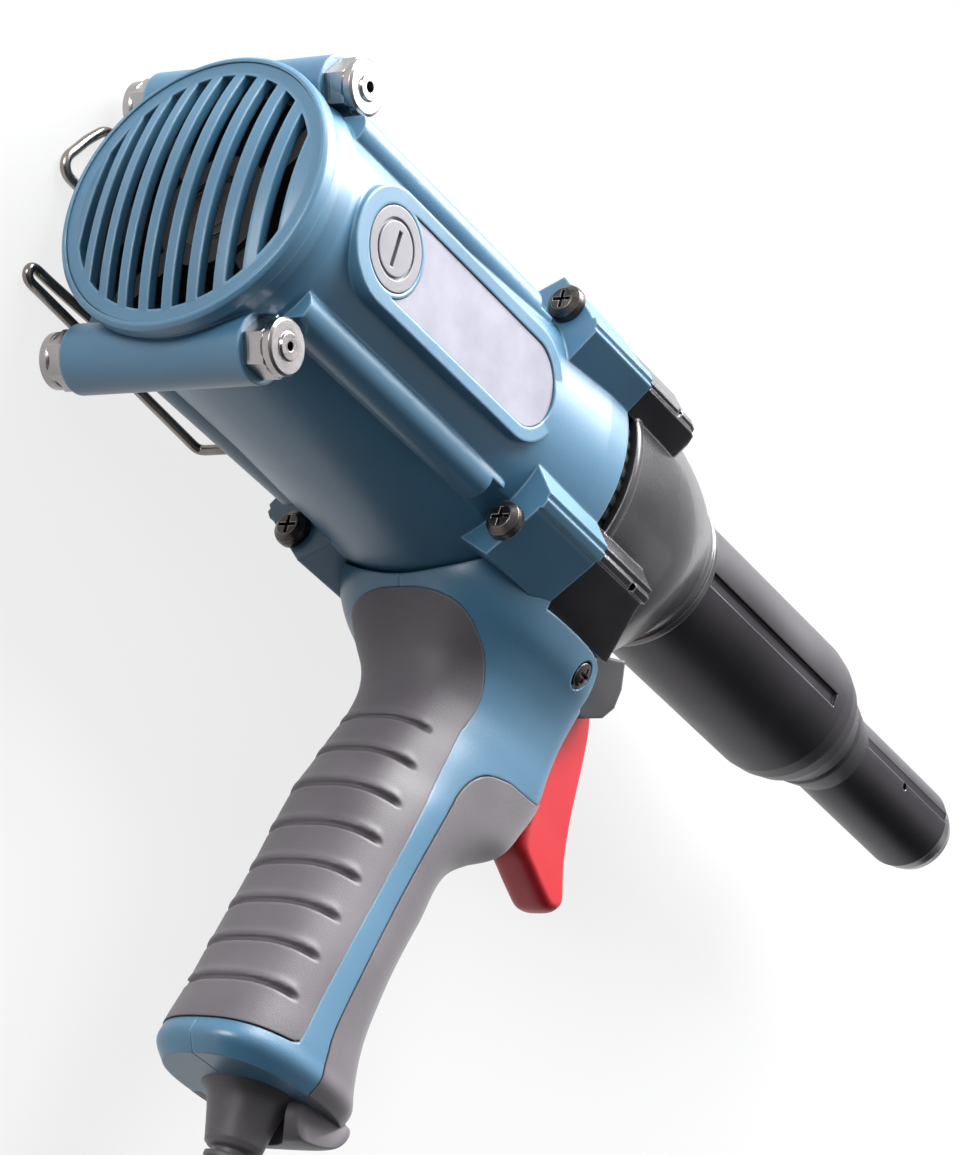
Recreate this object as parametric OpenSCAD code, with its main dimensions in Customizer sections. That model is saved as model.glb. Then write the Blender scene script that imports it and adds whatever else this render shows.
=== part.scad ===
// Electric riveter: a hand-held mains tool that pulls blind rivets with a screw and nut.
// X runs along the barrel towards the nose, Y towards the top of the tool and Z out of its
// right side. The tool lies on its left side, as it does on a bench, and the origin is the
// centre of the fitted nosepiece's mouth. Inside the modules X starts at the rear of the rim
// and Y and Z start on the motor axis.

/* [Motor housing] */
// Outer radius of the rear rim
rim_r = 35; // [33:0.5:38]
// Width of the rear rim
rim_w = 4; // [3:0.5:6]
// Radius of the motor tube behind the bosses
tube_r = 34.8; // [34:0.2:36]
// Radius of the motor tube at its front end
tube_front_r = 38.2; // [37:0.2:40]
// Length of the motor housing
housing_len = 127; // [124:1:135]
// Bore radius of the motor housing
bore_r = 32; // [31:0.2:32.6]
// Reach of the corner bosses from the motor axis
boss_r = 45.4; // [45:0.2:47]
// Length of the corner bosses
boss_len = 26; // [20:1:30]
// Radius of the circle that the barrel screws lie on
screw_circle_r = 41.6; // [41:0.1:42]
// Height of the flat side bosses above the motor axis
side_boss_h = 36.2; // [35.4:0.2:37]
// Half width of the side bosses
side_boss_r = 13.9; // [13:0.1:15]

/* [Cross tubes and spare nosepieces] */
// Distance of the cross tubes from the motor axis
cross_y = 33; // [31:0.5:35]
// Place of the cross tubes behind the rim
cross_x = 14; // [12:0.5:18]
// Radius of the cross tubes
cross_r = 8; // [7:0.2:9]
// Reach of the cross tubes to the right
cross_right = 20.5; // [18:0.5:24]
// Reach of the cross tubes to the left
cross_left = 29; // [25:0.5:30]

/* [Nosepieces] */
// Width across flats of a nosepiece
hex_af = 12; // [11:0.5:13]
// Thickness of the hexagon
hex_h = 5; // [4:0.5:6]
// Radius of a nosepiece's round face
face_r = 6.5; // [6:0.1:7]
// Thickness of a nosepiece's round face
face_h = 2.4; // [2:0.1:3]
// Radius of a nosepiece's thread
thread_r = 5; // [4.5:0.1:5.4]
// Length of a nosepiece's thread
thread_len = 9; // [7:0.5:10]
// Bore radius of the fitted nosepiece
fitted_bore_r = 1.55; // [1.3:0.05:1.8]
// Bore radius of the upper spare nosepieces
spare_upper_bore_r = 1.35; // [1.1:0.05:1.6]
// Bore radius of the lower spare nosepieces
spare_lower_bore_r = 1.1; // [0.9:0.05:1.5]

/* [Nose] */
// Outer radius of the nose sleeve
sleeve_r = 20; // [19:0.5:21]
// Length of the nose sleeve in front of the gear case
sleeve_len = 88; // [80:1:96]
// Bore radius of the nose sleeve
sleeve_bore_r = 14.2; // [14:0.1:15]
// Outer radius of the nose tube
nose_r = 12; // [11.6:0.1:13]
// Bore radius of the nose tube
nose_bore_r = 8.6; // [8.5:0.1:9]
// Length of the nose tube in front of the sleeve
nose_len = 58; // [54:1:62]

/* [Gear train] */
// Teeth of the motor pinion
pinion_teeth = 10; // [9:1:11]
// Teeth of the large lay gear
lay_teeth = 27; // [25:1:29]
// Module of the first stage
module_1 = 0.8; // [0.75:0.01:0.85]
// Teeth of the small lay gear
lay_pinion_teeth = 10; // [9:1:11]
// Teeth of the spindle gear
spindle_teeth = 42; // [40:1:43]
// Module of the second stage
module_2 = 1; // [0.98:0.01:1.02]
// Tooth thinning on each flank, as a share of the module
tooth_slack = 0.06; // [0.05:0.01:0.1]

/* [Pull screw and jaws] */
// Radius of the pull screw
pull_r = 8; // [7:0.2:8.4]
// Stroke of the pull screw
stroke = 18; // [14:1:20]
// Radius of the jaw case
jaw_case_r = 8.3; // [8:0.1:8.3]
// Wide radius of the jaw case's cone
cone_wide_r = 6; // [5.8:0.1:6.4]
// Length of a jaw
jaw_len = 10.5; // [9:0.5:11]
// Travel of the jaws and their pusher
jaw_travel = 3; // [2:0.5:3.5]

/* [Motor] */
// Radius of the rotor core
rotor_r = 18.5; // [17:0.5:18.5]
// Length of the rotor and stator cores
core_len = 46; // [40:1:48]
// Radius of the motor shaft
shaft_r = 4; // [3.5:0.1:4]
// Radius of the commutator
commutator_r = 13; // [12:0.5:14]
// Radius of the fan
fan_r = 30; // [26:0.5:31]
// Blades on the fan
fan_blades = 9; // [7:1:12]
// Radius of a brush cap
cap_r = 9.6; // [9:0.1:10.5]

/* [Rear grille] */
// Rise of the domed grille behind the rim
grille_rise = 6; // [3:0.5:8]
// Slots in the grille
grille_slots = 9; // [7:2:11]
// Distance between slots
slot_pitch = 6.4; // [5:0.1:6.6]
// Width of a slot
slot_w = 3.7; // [2.5:0.1:3.9]

/* [Handle] */
// Half thickness of the handle
grip_half = 17.5; // [16:0.5:19]
// Half width of the saddle under the gear case
saddle_half = 28; // [26:0.5:29]
// Height of the handle's bottom below the motor axis
base_y = 168; // [164:1:174]
// Thickness of the rubber grips
rubber_t = 2.6; // [2:0.2:3.2]
// Grooves across the rear grip
groove_count = 8; // [6:1:8]
// Distance between grooves
groove_pitch = 10.9; // [9:0.1:11]

/* [Trigger] */
// Half thickness of the trigger
trigger_half = 5.5; // [4.5:0.1:6.5]
// Angle that the trigger swings through
trigger_deg = 7; // [4:0.5:8]
// Radius of the trigger's pin
trigger_pin_r = 2; // [1.5:0.1:2.5]

/* [Hanging hook] */
// Radius of the hook's wire
wire_r = 1.25; // [1:0.05:1.4]
// Distance of the wire from the motor axis
hook_z = 38.6; // [38.3:0.1:39]

/* [Cord] */
// Diameter of the cord
cord_d = 7; // [6:0.2:8]

/* [Hidden] */
$fn = 64;
run_gap = 0.3;
fit_gap = 0.05;
seat_gap = 0.1;
housing_blue = [0.27, 0.45, 0.56];
rubber_grey = [0.40, 0.38, 0.40];
case_grey = [0.20, 0.19, 0.20];
nose_black = [0.15, 0.15, 0.16];
steel = [0.75, 0.75, 0.77];

// Gear train: the nose axis lies above the motor axis by the difference of the two centre distances
centre_1 = module_1 * (pinion_teeth + lay_teeth) / 2;
centre_2 = module_2 * (lay_pinion_teeth + spindle_teeth) / 2;
nose_y = centre_2 - centre_1;

// Stations along the barrel
case_x = housing_len + 4;
plate_front_x = case_x + 5;
pinion_x = plate_front_x + 1.5;
pinion_len = 9;
lay_gear_x = pinion_x + 0.5;
lay_gear_len = 7;
spindle_x = pinion_x + pinion_len + 1;
spindle_gear_len = 9;
case_wall_x = spindle_x + spindle_gear_len + 1.5;
thrust_len = 9.5;
radial_len = 10;
nut_end_x = case_wall_x + thrust_len + radial_len + 6;
case_end_x = case_wall_x + 40;
sleeve_x = case_end_x;
sleeve_end_x = sleeve_x + sleeve_len;
nose_end_x = sleeve_end_x + nose_len;
cap_len = 6.5;
cap_end_x = nose_end_x + cap_len;
boss_h = 0.6;
hex_x = cap_end_x - hex_h;
tip_x = hex_x + hex_h + face_h + boss_h;
core_x = 45;
brush_x = 29;
fan_x = 103;
commutator_x = 21.5;
commutator_len = 16;

// Bearings
bearing_w = 7;
rear_bearing_r = 11;
front_bearing_r = 13;
bracket_x = 8.5;
bracket_len = 9;
nut_hub_r = 13.5;
thrust_r = 20.4;
radial_r = 19.4;
lay_shaft_r = 2.5;
lay_bush_r = 5;

// Jaws and their case
case_front_gap = 4;
jaw_case_len = 34;
jaw_case_end_x = hex_x - thread_len - 2;
jaw_case_x = jaw_case_end_x - jaw_case_len;
cone_slope = 0.2;
cone_x = jaw_case_end_x - 16;
jaw_x = cone_x + 4;
pusher_len = 6.5;
pusher_x = jaw_x - run_gap - pusher_len;
rod_r = 6.5;
spigot_r = 4.5;
spigot_len = 6;
mandrel_r = 1.6;

// Screws
barrel_screw_r = 2.3;
screw_head_r = 4.6;
screw_head_h = 3.4;
screw_seat_x = housing_len - boss_len;
screw_angle = 43.6;
ear_len = 22;
boss_angles = [28, 35, 54];
small_screw_r = 1.6;
small_head_r = 3.1;

// Handle outline: height, rear, front and half thickness of each ring from the top down
handle_rings = [
  [-16, 104, 150, 25],
  [-24, 104, 158, 27.5],
  [-32, 104.5, 165, saddle_half],
  [-38, 105.5, 168, saddle_half],
  [-43, 108, 169, 26],
  [-48, 111, 169.4, 22.8],
  [-54, 113.8, 169.6, 19.8],
  [-61, 114.2, 169.8, grip_half + 0.4],
  [-69, 112.2, 169.5, grip_half],
  [-78, 108.1, 165.5, grip_half],
  [-86, 104.8, 160, grip_half],
  [-92, 102.4, 150.5, grip_half],
  [-98, 101.1, 142.5, grip_half],
  [-116, 96.6, 134.7, grip_half],
  [-137, 90.2, 129, grip_half],
  [-150, 86, 127.8, grip_half],
  [-160, 82.2, 129.6, grip_half + 0.4],
  [-164, 81, 131, grip_half + 0.5],
  [-base_y, 83.5, 130, grip_half - 1.5]
];
ring_sides = 36;
ring_power = 2 / 2.6;
foot_drop = 10;
clamp_x = 106;
relief_r = 9.4;
relief_len = 13;
boot_r = 4.9;
boot_bend_r = 22;
boot_bend_deg = 58;
boot_straight = 12;
boot_end_y = -base_y - relief_len - boot_bend_r * sin(boot_bend_deg) - boot_straight * cos(boot_bend_deg);
boot_end_z = -boot_bend_r * (1 - cos(boot_bend_deg)) - boot_straight * sin(boot_bend_deg);
trigger_x = 178;
trigger_y = -35;
slot_half = trigger_half + 0.6;

// Cord route on the bench, from the boot to the coil
rest_z = -boss_r * cos(boss_angles[0]);
cord_r = cord_d / 2;
cord_low_z = rest_z + cord_r;
coil_x = 62;
coil_y = -300;
coil_mid_r = 39;
coil_half_w = cord_d;
coil_rows = 4;
coil_h = coil_rows * cord_d;
fall_r = (boot_end_z - cord_low_z) / (1 - cos(boot_bend_deg));
coil_side = coil_mid_r + cord_r;
cord_route = concat(
  [for (a = [boot_bend_deg : -boot_bend_deg / 4 : 1])
    [clamp_x, boot_end_y - fall_r * (sin(boot_bend_deg) - sin(a)), cord_low_z + fall_r * (1 - cos(a))]],
  [[clamp_x, boot_end_y - fall_r * sin(boot_bend_deg), cord_low_z],
   [clamp_x - 0.3, -250, cord_low_z],
   [clamp_x - 0.8, -268, cord_low_z],
   [coil_x + coil_side, -284, cord_low_z],
   [coil_x + coil_side, coil_y, cord_low_z]]);

// Hook outline in the plane beside the housing, from the front end to the upper end
hook_in = 14;
hook_low_y = -21.6;
hook_path = concat(
  [[70, -24.2, hook_in - hook_z], [70, -24.2, 3 - hook_z]],
  [for (a = [0 : 30 : 90]) [70 - 3 * sin(a), -24.2 + 0.2 * sin(a), -hook_z + 3 - 3 * sin(a)]],
  [[40, -22.6, -hook_z], [16, -21.2, -hook_z]],
  [for (a = [0 : 30 : 180]) [0.6 - 1.9 * sin(a), -18.6 - 1.9 * cos(a), -hook_z]],
  [[16, -16.9, -hook_z], [26, -16.8, -hook_z]],
  [for (a = [15 : 25 : 165]) [30 + 12.2 * sin(a), -4.6 - 12.2 * cos(a), -hook_z]],
  [[16, 7.4, -hook_z], [5, 7.4, -hook_z]],
  [for (a = [20 : 30 : 140]) [2.2 - 3.2 * sin(a), 10.6 - 3.2 * cos(a), -hook_z]],
  [[3.4, 18.4, -hook_z], [7.4, 23.4, -hook_z], [9.6, 24.7, -hook_z], [18, 24.6, -hook_z]],
  [for (a = [30 : 30 : 90]) [18 + 3 * sin(a), 24.6, -hook_z + 3 - 3 * cos(a)]],
  [[21, 24.6, hook_in - hook_z]]
);

// Shared shapes
function rot_x(a) = [0, sin(a), cos(a)];

module place() {
  translate([-tip_x, -nose_y, 0]) children();
}

module rod_x(x0, x1, r, y = 0, z = 0) {
  translate([x0, y, z]) rotate([0, 90, 0]) cylinder(h = x1 - x0, r = r);
}

module ring_x(x0, x1, r_out, r_in, y = 0, z = 0) {
  difference() {
    rod_x(x0, x1, r_out, y, z);
    rod_x(x0 - 1, x1 + 1, r_in, y, z);
  }
}

module rod_z(x, y, z0, z1, r) {
  translate([x, y, z0]) cylinder(h = z1 - z0, r = r);
}

module turned(profile, y = 0) {
  translate([0, y, 0]) rotate([0, 90, 0]) rotate_extrude() polygon([for (p = profile) [p[1], p[0]]]);
}

module stadium(x0, x1, half) {
  translate([x0 + half, 0]) circle(r = half);
  translate([x1 - half, 0]) circle(r = half);
  translate([x0 + half, -half]) square([x1 - x0 - 2 * half, 2 * half]);
}

module both_sides() {
  children();
  mirror([0, 0, 1]) children();
}

module four_corners() {
  for (flip_y = [0, 1], flip_z = [0, 1]) mirror([0, flip_y, 0]) mirror([0, 0, flip_z]) children();
}

// Closed tube of rings of points along a path, with a radius for each ring
function unit(v) = v / norm(v);
function tangent(path, i) = unit(path[min(i + 1, len(path) - 1)] - path[max(i - 1, 0)]);
function side_of(t) = unit(abs(t[0]) < 0.9 ? cross(t, [1, 0, 0]) : cross(t, [0, 0, 1]));

module swept(path, radii, sides) {
  n = len(path);
  points = [for (i = [0 : n - 1], k = [0 : sides - 1])
    let (t = tangent(path, i), u = side_of(t), v = cross(t, u), a = 360 * k / sides)
    path[i] + radii[i] * (cos(a) * u + sin(a) * v)];
  walls = [for (i = [0 : n - 2], k = [0 : sides - 1])
    [(i + 1) * sides + k, (i + 1) * sides + (k + 1) % sides, i * sides + (k + 1) % sides, i * sides + k]];
  ends = [[for (k = [0 : sides - 1]) k], [for (k = [sides - 1 : -1 : 0]) (n - 1) * sides + k]];
  polyhedron(points, concat(walls, ends), convexity = 8);
}

// Spur gear with involute flanks and one tooth centred on +Y
function inv_deg(a) = tan(a) * 180 / PI - a;
function flank_deg(teeth, m, r) =
  let (base = m * teeth * cos(20) / 2, a = acos(min(1, base / max(r, base))))
  90 / teeth * (1 - 4 * tooth_slack / PI) + inv_deg(20) - inv_deg(a);

module spur(teeth, m, width, addendum = 0.9) {
  pitch = m * teeth / 2;
  radii = [pitch - 1.2 * m, pitch - 0.45 * m, pitch + 0.2 * m, pitch + addendum * m];
  angles = [for (r = radii) flank_deg(teeth, m, r)];
  outline = [for (k = [0 : teeth - 1], s = [-3 : 4])
    let (i = s <= 0 ? 3 + s : 4 - s, a = 90 + 360 * k / teeth + (s <= 0 ? -1 : 1) * angles[i])
    radii[i] * [cos(a), sin(a)]];
  rotate([0, 90, 0]) linear_extrude(width) polygon(outline);
}

// Pan head with a cross recess, its face towards -X
module pan_head(r, h) {
  difference() {
    turned([[0, 0], [0, r * 0.62], [h * 0.35, r * 0.94], [h * 0.6, r], [h, r], [h, 0]]);
    for (a = [0, 90]) rotate([a, 0, 0]) translate([-1, -r * 0.52, -r * 0.1])
      cube([h * 0.5 + 1, r * 1.04, r * 0.2]);
  }
}

// Profile of the corner boss in the YZ plane, lower right corner
module corner_boss(x0, x1, base_r, grow = 0) {
  rail = 1.3;
  dip = 0.8;
  spread = 1.6 * grow;
  angles = [boss_angles[0] - spread, boss_angles[1], boss_angles[2] + spread];
  edge = [for (a = angles) (boss_r + grow) * [-sin(a), cos(a)]];
  along = unit(edge[1] - edge[0]);
  inward = [-along[1], along[0]] * -dip;
  outline = [
    base_r * [-sin(18 - spread), cos(18 - spread)], edge[0], edge[0] + along * rail, edge[0] + along * (rail + 0.4) + inward,
    edge[1] - along * (rail + 0.4) + inward, edge[1] - along * rail, edge[1], edge[2],
    base_r * [-sin(64 + spread), cos(64 + spread)]];
  translate([x0, 0, 0]) rotate([90, 0, 90]) linear_extrude(x1 - x0) polygon(outline);
}

module at_screws() {
  four_corners() translate([0, -screw_circle_r * sin(screw_angle), screw_circle_r * cos(screw_angle)])
    children();
}

// Motor tube with rim, cross tubes, ridges, side bosses and corner bosses
module tube_outline() {
  turned([
    [0, 0], [0, rim_r - 0.9], [0.9, rim_r], [rim_w, rim_r], [rim_w + 0.8, tube_r - 1.2],
    [rim_w + 4, tube_r - 1.2], [rim_w + 8, tube_r], [62, tube_r + 0.4], [96, tube_r + 1.8],
    [housing_len - 8, tube_front_r], [housing_len, tube_front_r], [housing_len, 0]]);
}

module motor_housing() {
  ridge_r = 5;
  ridge_mid = tube_r - 0.8;
  pocket_len = 10;
  color(housing_blue) difference() {
    union() {
      tube_outline();
      for (s = [-1, 1]) rod_z(cross_x, s * cross_y, -cross_left, cross_right, cross_r);
      four_corners() rod_x(cross_x, screw_seat_x - pocket_len / 2, ridge_r,
        -ridge_mid * sin(41.6), ridge_mid * cos(41.6));
      both_sides() linear_extrude(side_boss_h) stadium(brush_x - 14.4, 100.6, side_boss_r);
      four_corners() corner_boss(screw_seat_x, housing_len, bore_r + 1.5);
    }
    rod_x(-1, housing_len + 1, bore_r);
    rod_x(-1, rim_w - 0.8, rim_r - 1.6);
    at_screws() rod_x(screw_seat_x - pocket_len, screw_seat_x, screw_head_r + 1.6);
    at_screws() rod_x(screw_seat_x - 1, housing_len + 1, barrel_screw_r + seat_gap);
    both_sides() rod_z(brush_x, 0, bore_r - 3, side_boss_h + 1, cap_r - 2);
    both_sides() rod_z(brush_x, 0, side_boss_h - 1.6, side_boss_h + 1, cap_r + 0.3);
    translate([0, 0, side_boss_h - label_recess]) linear_extrude(5) label_shape(0.25);
    for (s = [-1, 1]) {
      rod_z(cross_x, s * cross_y, cross_right - thread_len - 1, cross_right + 1, thread_r + fit_gap);
      rod_z(cross_x, s * cross_y, -cross_left - 1, -cross_left + thread_len + 1, thread_r + fit_gap);
      rod_z(cross_x, s * cross_y, cross_right, 40, face_r + 0.9);
      rod_z(cross_x, s * cross_y, -40, -cross_left, face_r + 0.9);
    }
    for (end = [hook_path[0], hook_path[len(hook_path) - 1]])
      rod_z(end[0], end[1], -hook_z, end[2] + 1, wire_r + seat_gap);
  }
}

label_recess = 0.9;

module label_shape(grow) {
  difference() {
    offset_x = 33.4;
    stadium(offset_x - side_boss_r, 97 + grow, side_boss_r - 3.6 + grow);
    translate([brush_x, 0]) circle(r = cap_r + 1.6 - grow);
    translate([brush_x - 20, -20]) square([20 + 3, 40]);
  }
}

module label_plate() {
  color([0.88, 0.87, 0.92]) translate([0, 0, side_boss_h - label_recess])
    linear_extrude(0.6) label_shape(0);
}

module rear_grille() {
  ring_in = 30.6;
  ball_r = (ring_in * ring_in + grille_rise * grille_rise) / (2 * grille_rise);
  shell_t = 2.6;
  lip_x = rim_w - 0.8;
  color(housing_blue) union() {
    difference() {
      union() {
        turned([[0.5, 0], [0.5, rim_r - 1.75], [lip_x, rim_r - 1.75], [lip_x, 0]]);
        intersection() {
          translate([ball_r - grille_rise + 0.5, 0, 0]) sphere(r = ball_r, $fn = 96);
          rod_x(-grille_rise - 1, lip_x, ring_in);
        }
      }
      translate([ball_r - grille_rise + 0.5, 0, 0]) sphere(r = ball_r - shell_t, $fn = 96);
      intersection() {
        for (k = [0 : grille_slots - 1])
          translate([-20, -40, (k - (grille_slots - 1) / 2) * slot_pitch - slot_w / 2])
            cube([40, 80, slot_w]);
        rod_x(-20, 20, ring_in - 0.6);
      }
    }
  }
}

module brush_caps() {
  color([0.72, 0.73, 0.76]) both_sides() difference() {
    union() {
      rod_z(brush_x, 0, side_boss_h - 1.5, side_boss_h + 0.1, cap_r);
      rod_z(brush_x, 0, bore_r - 1.6, side_boss_h - 1.5, cap_r - 2 - fit_gap);
    }
    translate([brush_x, 0, side_boss_h - 0.5]) difference() {
      cylinder(h = 2, r = cap_r - 2.6);
      translate([0, 0, -1]) cylinder(h = 4, r = cap_r - 3.4);
    }
    translate([brush_x - 0.7, -4.4, side_boss_h - 1]) cube([1.4, 8.8, 3]);
  }
}

module housing_screws() {
  color([0.25, 0.24, 0.25]) at_screws() union() {
    translate([screw_seat_x - screw_head_h, 0, 0]) pan_head(screw_head_r, screw_head_h);
    rod_x(screw_seat_x - 0.5, housing_len + ear_len - 4, barrel_screw_r);
  }
}

module air_ring() {
  windows = 24;
  color([0.04, 0.04, 0.05]) difference() {
    ring_x(housing_len + seat_gap, case_x - seat_gap, tube_front_r - 2, bore_r + 0.6);
    for (k = [0 : windows - 1]) rotate([360 * k / windows, 0, 0])
      translate([housing_len + 1, -1.6, bore_r - 2]) cube([2, 3.2, 10]);
  }
}

// Motor
module bearing_bracket() {
  color([0.12, 0.12, 0.13]) difference() {
    union() {
      ring_x(bracket_x, bracket_x + bracket_len, bore_r - seat_gap, bore_r - 3);
      rod_x(bracket_x, bracket_x + bracket_len, rear_bearing_r + 3);
      for (a = [45 : 90 : 315]) rotate([a, 0, 0])
        translate([bracket_x + 2, -2.5, 0]) cube([bracket_len - 3, 5, bore_r - 1.8]);
      both_sides() translate([bracket_x + 3, -5, holder_in_z + 7])
        cube([brush_x - holder_w / 2 - bracket_x - 3, 10, 7]);
    }
    for (side = [0, 1]) mirror([0, side, 0])
      translate([bracket_x - 1, cross_y - thread_r - 0.6, cross_right - thread_len - 1.5]) cube([bracket_len + 2, 20, 40]);
    rod_x(bracket_x + 0.5, bracket_x + bracket_len + 1, rear_bearing_r + fit_gap);
    rod_x(bracket_x - 1, bracket_x + 1, rear_bearing_r - 2);
  }
}

module ball_bearing(x, width, r_out, r_in, y = 0) {
  mid = (r_out + r_in) / 2;
  groove = (r_out - r_in) * 0.2;
  difference() {
    ring_x(x, x + width, r_out, r_in, y);
    for (side = [x - 1, x + width - 0.8]) ring_x(side, side + 1.8, mid + groove, mid - groove, y);
  }
}

module rear_bearing() {
  color(steel) ball_bearing(bracket_x + 0.6, bearing_w, rear_bearing_r, shaft_r + fit_gap);
}

module front_bearing() {
  color(steel) ball_bearing(case_x - bearing_w - 0.6, bearing_w, front_bearing_r, shaft_r + fit_gap);
}

coil_in_r = 20.6;
coil_out_r = 27.6;
coil_over = 5.4;

module coil_frame(grow, over) {
  window_deg = 41;
  frame_deg = 62;
  for (side = [0, 180]) rotate([side, 0, 0]) difference() {
    rotate([-frame_deg - grow, 0, 0]) sector_x(core_x - over, core_x + core_len + over,
      coil_out_r + grow * 0.3, coil_in_r - grow * 0.3, 2 * (frame_deg + grow));
    rotate([-window_deg + grow, 0, 0]) sector_x(core_x - 0.2 - 20 * grow,
      core_x + core_len + 0.2 + 20 * grow, coil_out_r + 1, coil_in_r - 1,
      2 * (window_deg - grow));
  }
}

module sector_x(x0, x1, r_out, r_in, angle) {
  translate([x0, 0, 0]) rotate([0, 90, 0]) rotate([0, 0, 90]) rotate_extrude(angle = angle)
    translate([r_in, 0]) square([r_out - r_in, x1 - x0]);
}

module stator_core() {
  color([0.45, 0.45, 0.47]) difference() {
    ring_x(core_x, core_x + core_len, bore_r - seat_gap, rotor_r + 0.5);
    coil_frame(1, 1);
  }
}

module field_coils() {
  color([0.72, 0.38, 0.16]) coil_frame(0, coil_over);
}

module rotor_shaft() {
  color(steel) union() {
    rod_x(bracket_x + 0.4, pinion_x + 0.2, shaft_r);
    translate([pinion_x, 0, 0]) rotate([180 / pinion_teeth + 180, 0, 0])
      spur(pinion_teeth, module_1, pinion_len);
  }
}

module rotor_core() {
  slots = 12;
  color([0.5, 0.5, 0.52]) difference() {
    ring_x(core_x + 0.5, core_x + core_len - 0.5, rotor_r, shaft_r + 0.02);
    for (k = [0 : slots - 1]) rotate([360 * k / slots, 0, 0])
      translate([core_x, -0.9, rotor_r - 6]) cube([core_len, 1.8, 8]);
  }
}

module rotor_windings() {
  color([0.75, 0.42, 0.2]) for (side = [0, 1])
    translate([core_x + core_len / 2, 0, 0]) mirror([side, 0, 0]) turned([
      [core_len / 2 - 0.4, shaft_r + 0.02], [core_len / 2 - 0.4, rotor_r - 1.5],
      [core_len / 2 + 3, rotor_r - 2], [core_len / 2 + 5.4, rotor_r - 5], [core_len / 2 + 5.6, shaft_r + 0.02]]);
}

module commutator() {
  bars = 24;
  color([0.7, 0.42, 0.22]) difference() {
    ring_x(commutator_x, commutator_x + commutator_len, commutator_r, shaft_r + 0.02);
    for (k = [0 : bars - 1]) rotate([360 * k / bars, 0, 0])
      translate([commutator_x - 1, -0.3, commutator_r - 0.8]) cube([commutator_len - 1, 0.6, 2]);
  }
}

module fan() {
  hub_r = 9;
  blade_h = 10;
  color([0.9, 0.88, 0.82]) difference() {
    union() {
      rod_x(fan_x, fan_x + blade_h + 2, hub_r);
      rod_x(fan_x, fan_x + 2, fan_r);
      for (k = [0 : fan_blades - 1]) rotate([360 * k / fan_blades, 0, 0])
        translate([fan_x + 1, -0.8, hub_r + 3]) cube([blade_h, 1.6, fan_r - hub_r - 4]);
    }
    rod_x(fan_x - 1, fan_x + blade_h + 3, shaft_r + 0.02);
  }
}

holder_w = 9;
holder_h = 12;
holder_in_z = commutator_r + 1.4;

module brush_holders() {
  color([0.78, 0.62, 0.3]) both_sides() difference() {
    translate([brush_x - holder_w / 2, -holder_h / 2, holder_in_z])
      cube([holder_w, holder_h, bore_r - 2 - holder_in_z]);
    translate([brush_x - holder_w / 2 + 1.4, -holder_h / 2 + 1.4, 0])
      cube([holder_w - 2.8, holder_h - 2.8, bore_r]);
  }
}

module carbon_brushes() {
  color([0.1, 0.1, 0.1]) both_sides()
    translate([brush_x - holder_w / 2 + 1.5, -holder_h / 2 + 1.5, commutator_r + run_gap])
      cube([holder_w - 3, holder_h - 3, bore_r - 1.7 - commutator_r - run_gap]);
}

// Gear case and gears
module gear_plate() {
  hub_r = front_bearing_r + 2.6;
  color([0.62, 0.63, 0.65]) difference() {
    union() {
      rod_x(case_x + seat_gap, plate_front_x, case_bore_r - seat_gap);
      rod_x(case_x - bearing_w - 1.5, case_x + 1, hub_r);
    }
    rod_x(case_x - bearing_w - 2, case_x - 0.5, front_bearing_r + fit_gap);
    rod_x(case_x - 1, plate_front_x + 1, shaft_r + 2);
    rod_x(case_x + 1, plate_front_x + 1, lay_bush_r + fit_gap, -centre_1);
  }
}

case_bore_r = 35;

module case_dome(grow) {
  hull() {
    for (s = [[0, 38.4, 0], [18, 38, 0], [31, 36, 1.5], [41, 32.5, 4], [51, 27.6, 7.5], [60, 22.5, nose_y],
      [case_end_x - case_x, 21, nose_y]])
      translate([case_x + s[0] - 0.5, s[2], 0]) rotate([0, 90, 0]) cylinder(h = 0.5, r = s[1] + grow, $fn = 64);
  }
}

module gear_case() {
  color(case_grey) difference() {
    union() {
      case_dome(0);
      rod_x(case_x, case_x + 2.6, tube_front_r + 0.5);
      four_corners() intersection() {
        corner_boss(housing_len + 0.15, case_x + ear_len, bore_r + 1.5);
        translate([case_x + 3.6, 0, 0]) sphere(r = 52);
      }
    }
    rod_x(housing_len, case_x, tube_front_r - 1);
    rod_x(case_x - 1, case_wall_x, case_bore_r);
    rod_x(case_wall_x - 1, case_wall_x + thrust_len, thrust_r + fit_gap, nose_y);
    rod_x(case_wall_x - 1, case_wall_x + thrust_len + radial_len, radial_r + fit_gap, nose_y);
    rod_x(case_wall_x - 1, case_end_x + 1, sleeve_bore_r + 2.8, nose_y);
    rod_x(case_wall_x - 1, case_wall_x + 6, lay_bush_r + fit_gap, -centre_1);
    at_screws() rod_x(housing_len - 1, case_x + ear_len - 3, barrel_screw_r + seat_gap);
    for (s = [-1, 1]) translate([saddle_screw_x, 0, s * saddle_screw_z]) rotate([90, 0, 0])
      cylinder(h = 60, r = small_screw_r + seat_gap);
    four_corners() translate([case_x + 11, -boss_r * sin(31.5), boss_r * cos(31.5)])
      rotate([31.5, 0, 0]) translate([0, 0, -4]) cylinder(h = 8, r = 1.1, $fn = 24);
  }
}

saddle_screw_x = 152;
saddle_screw_z = 22;

module lay_gear() {
  color(steel) translate([0, -centre_1, 0]) union() {
    translate([lay_gear_x, 0, 0]) spur(lay_teeth, module_1, lay_gear_len, 0.7);
    translate([lay_gear_x + lay_gear_len - 0.5, 0, 0]) rotate([180 / lay_pinion_teeth, 0, 0])
      spur(lay_pinion_teeth, module_2, case_wall_x - lay_gear_x - lay_gear_len);
    rod_x(case_x + 1.5, case_wall_x + 5.5, lay_shaft_r);
  }
}

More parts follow.
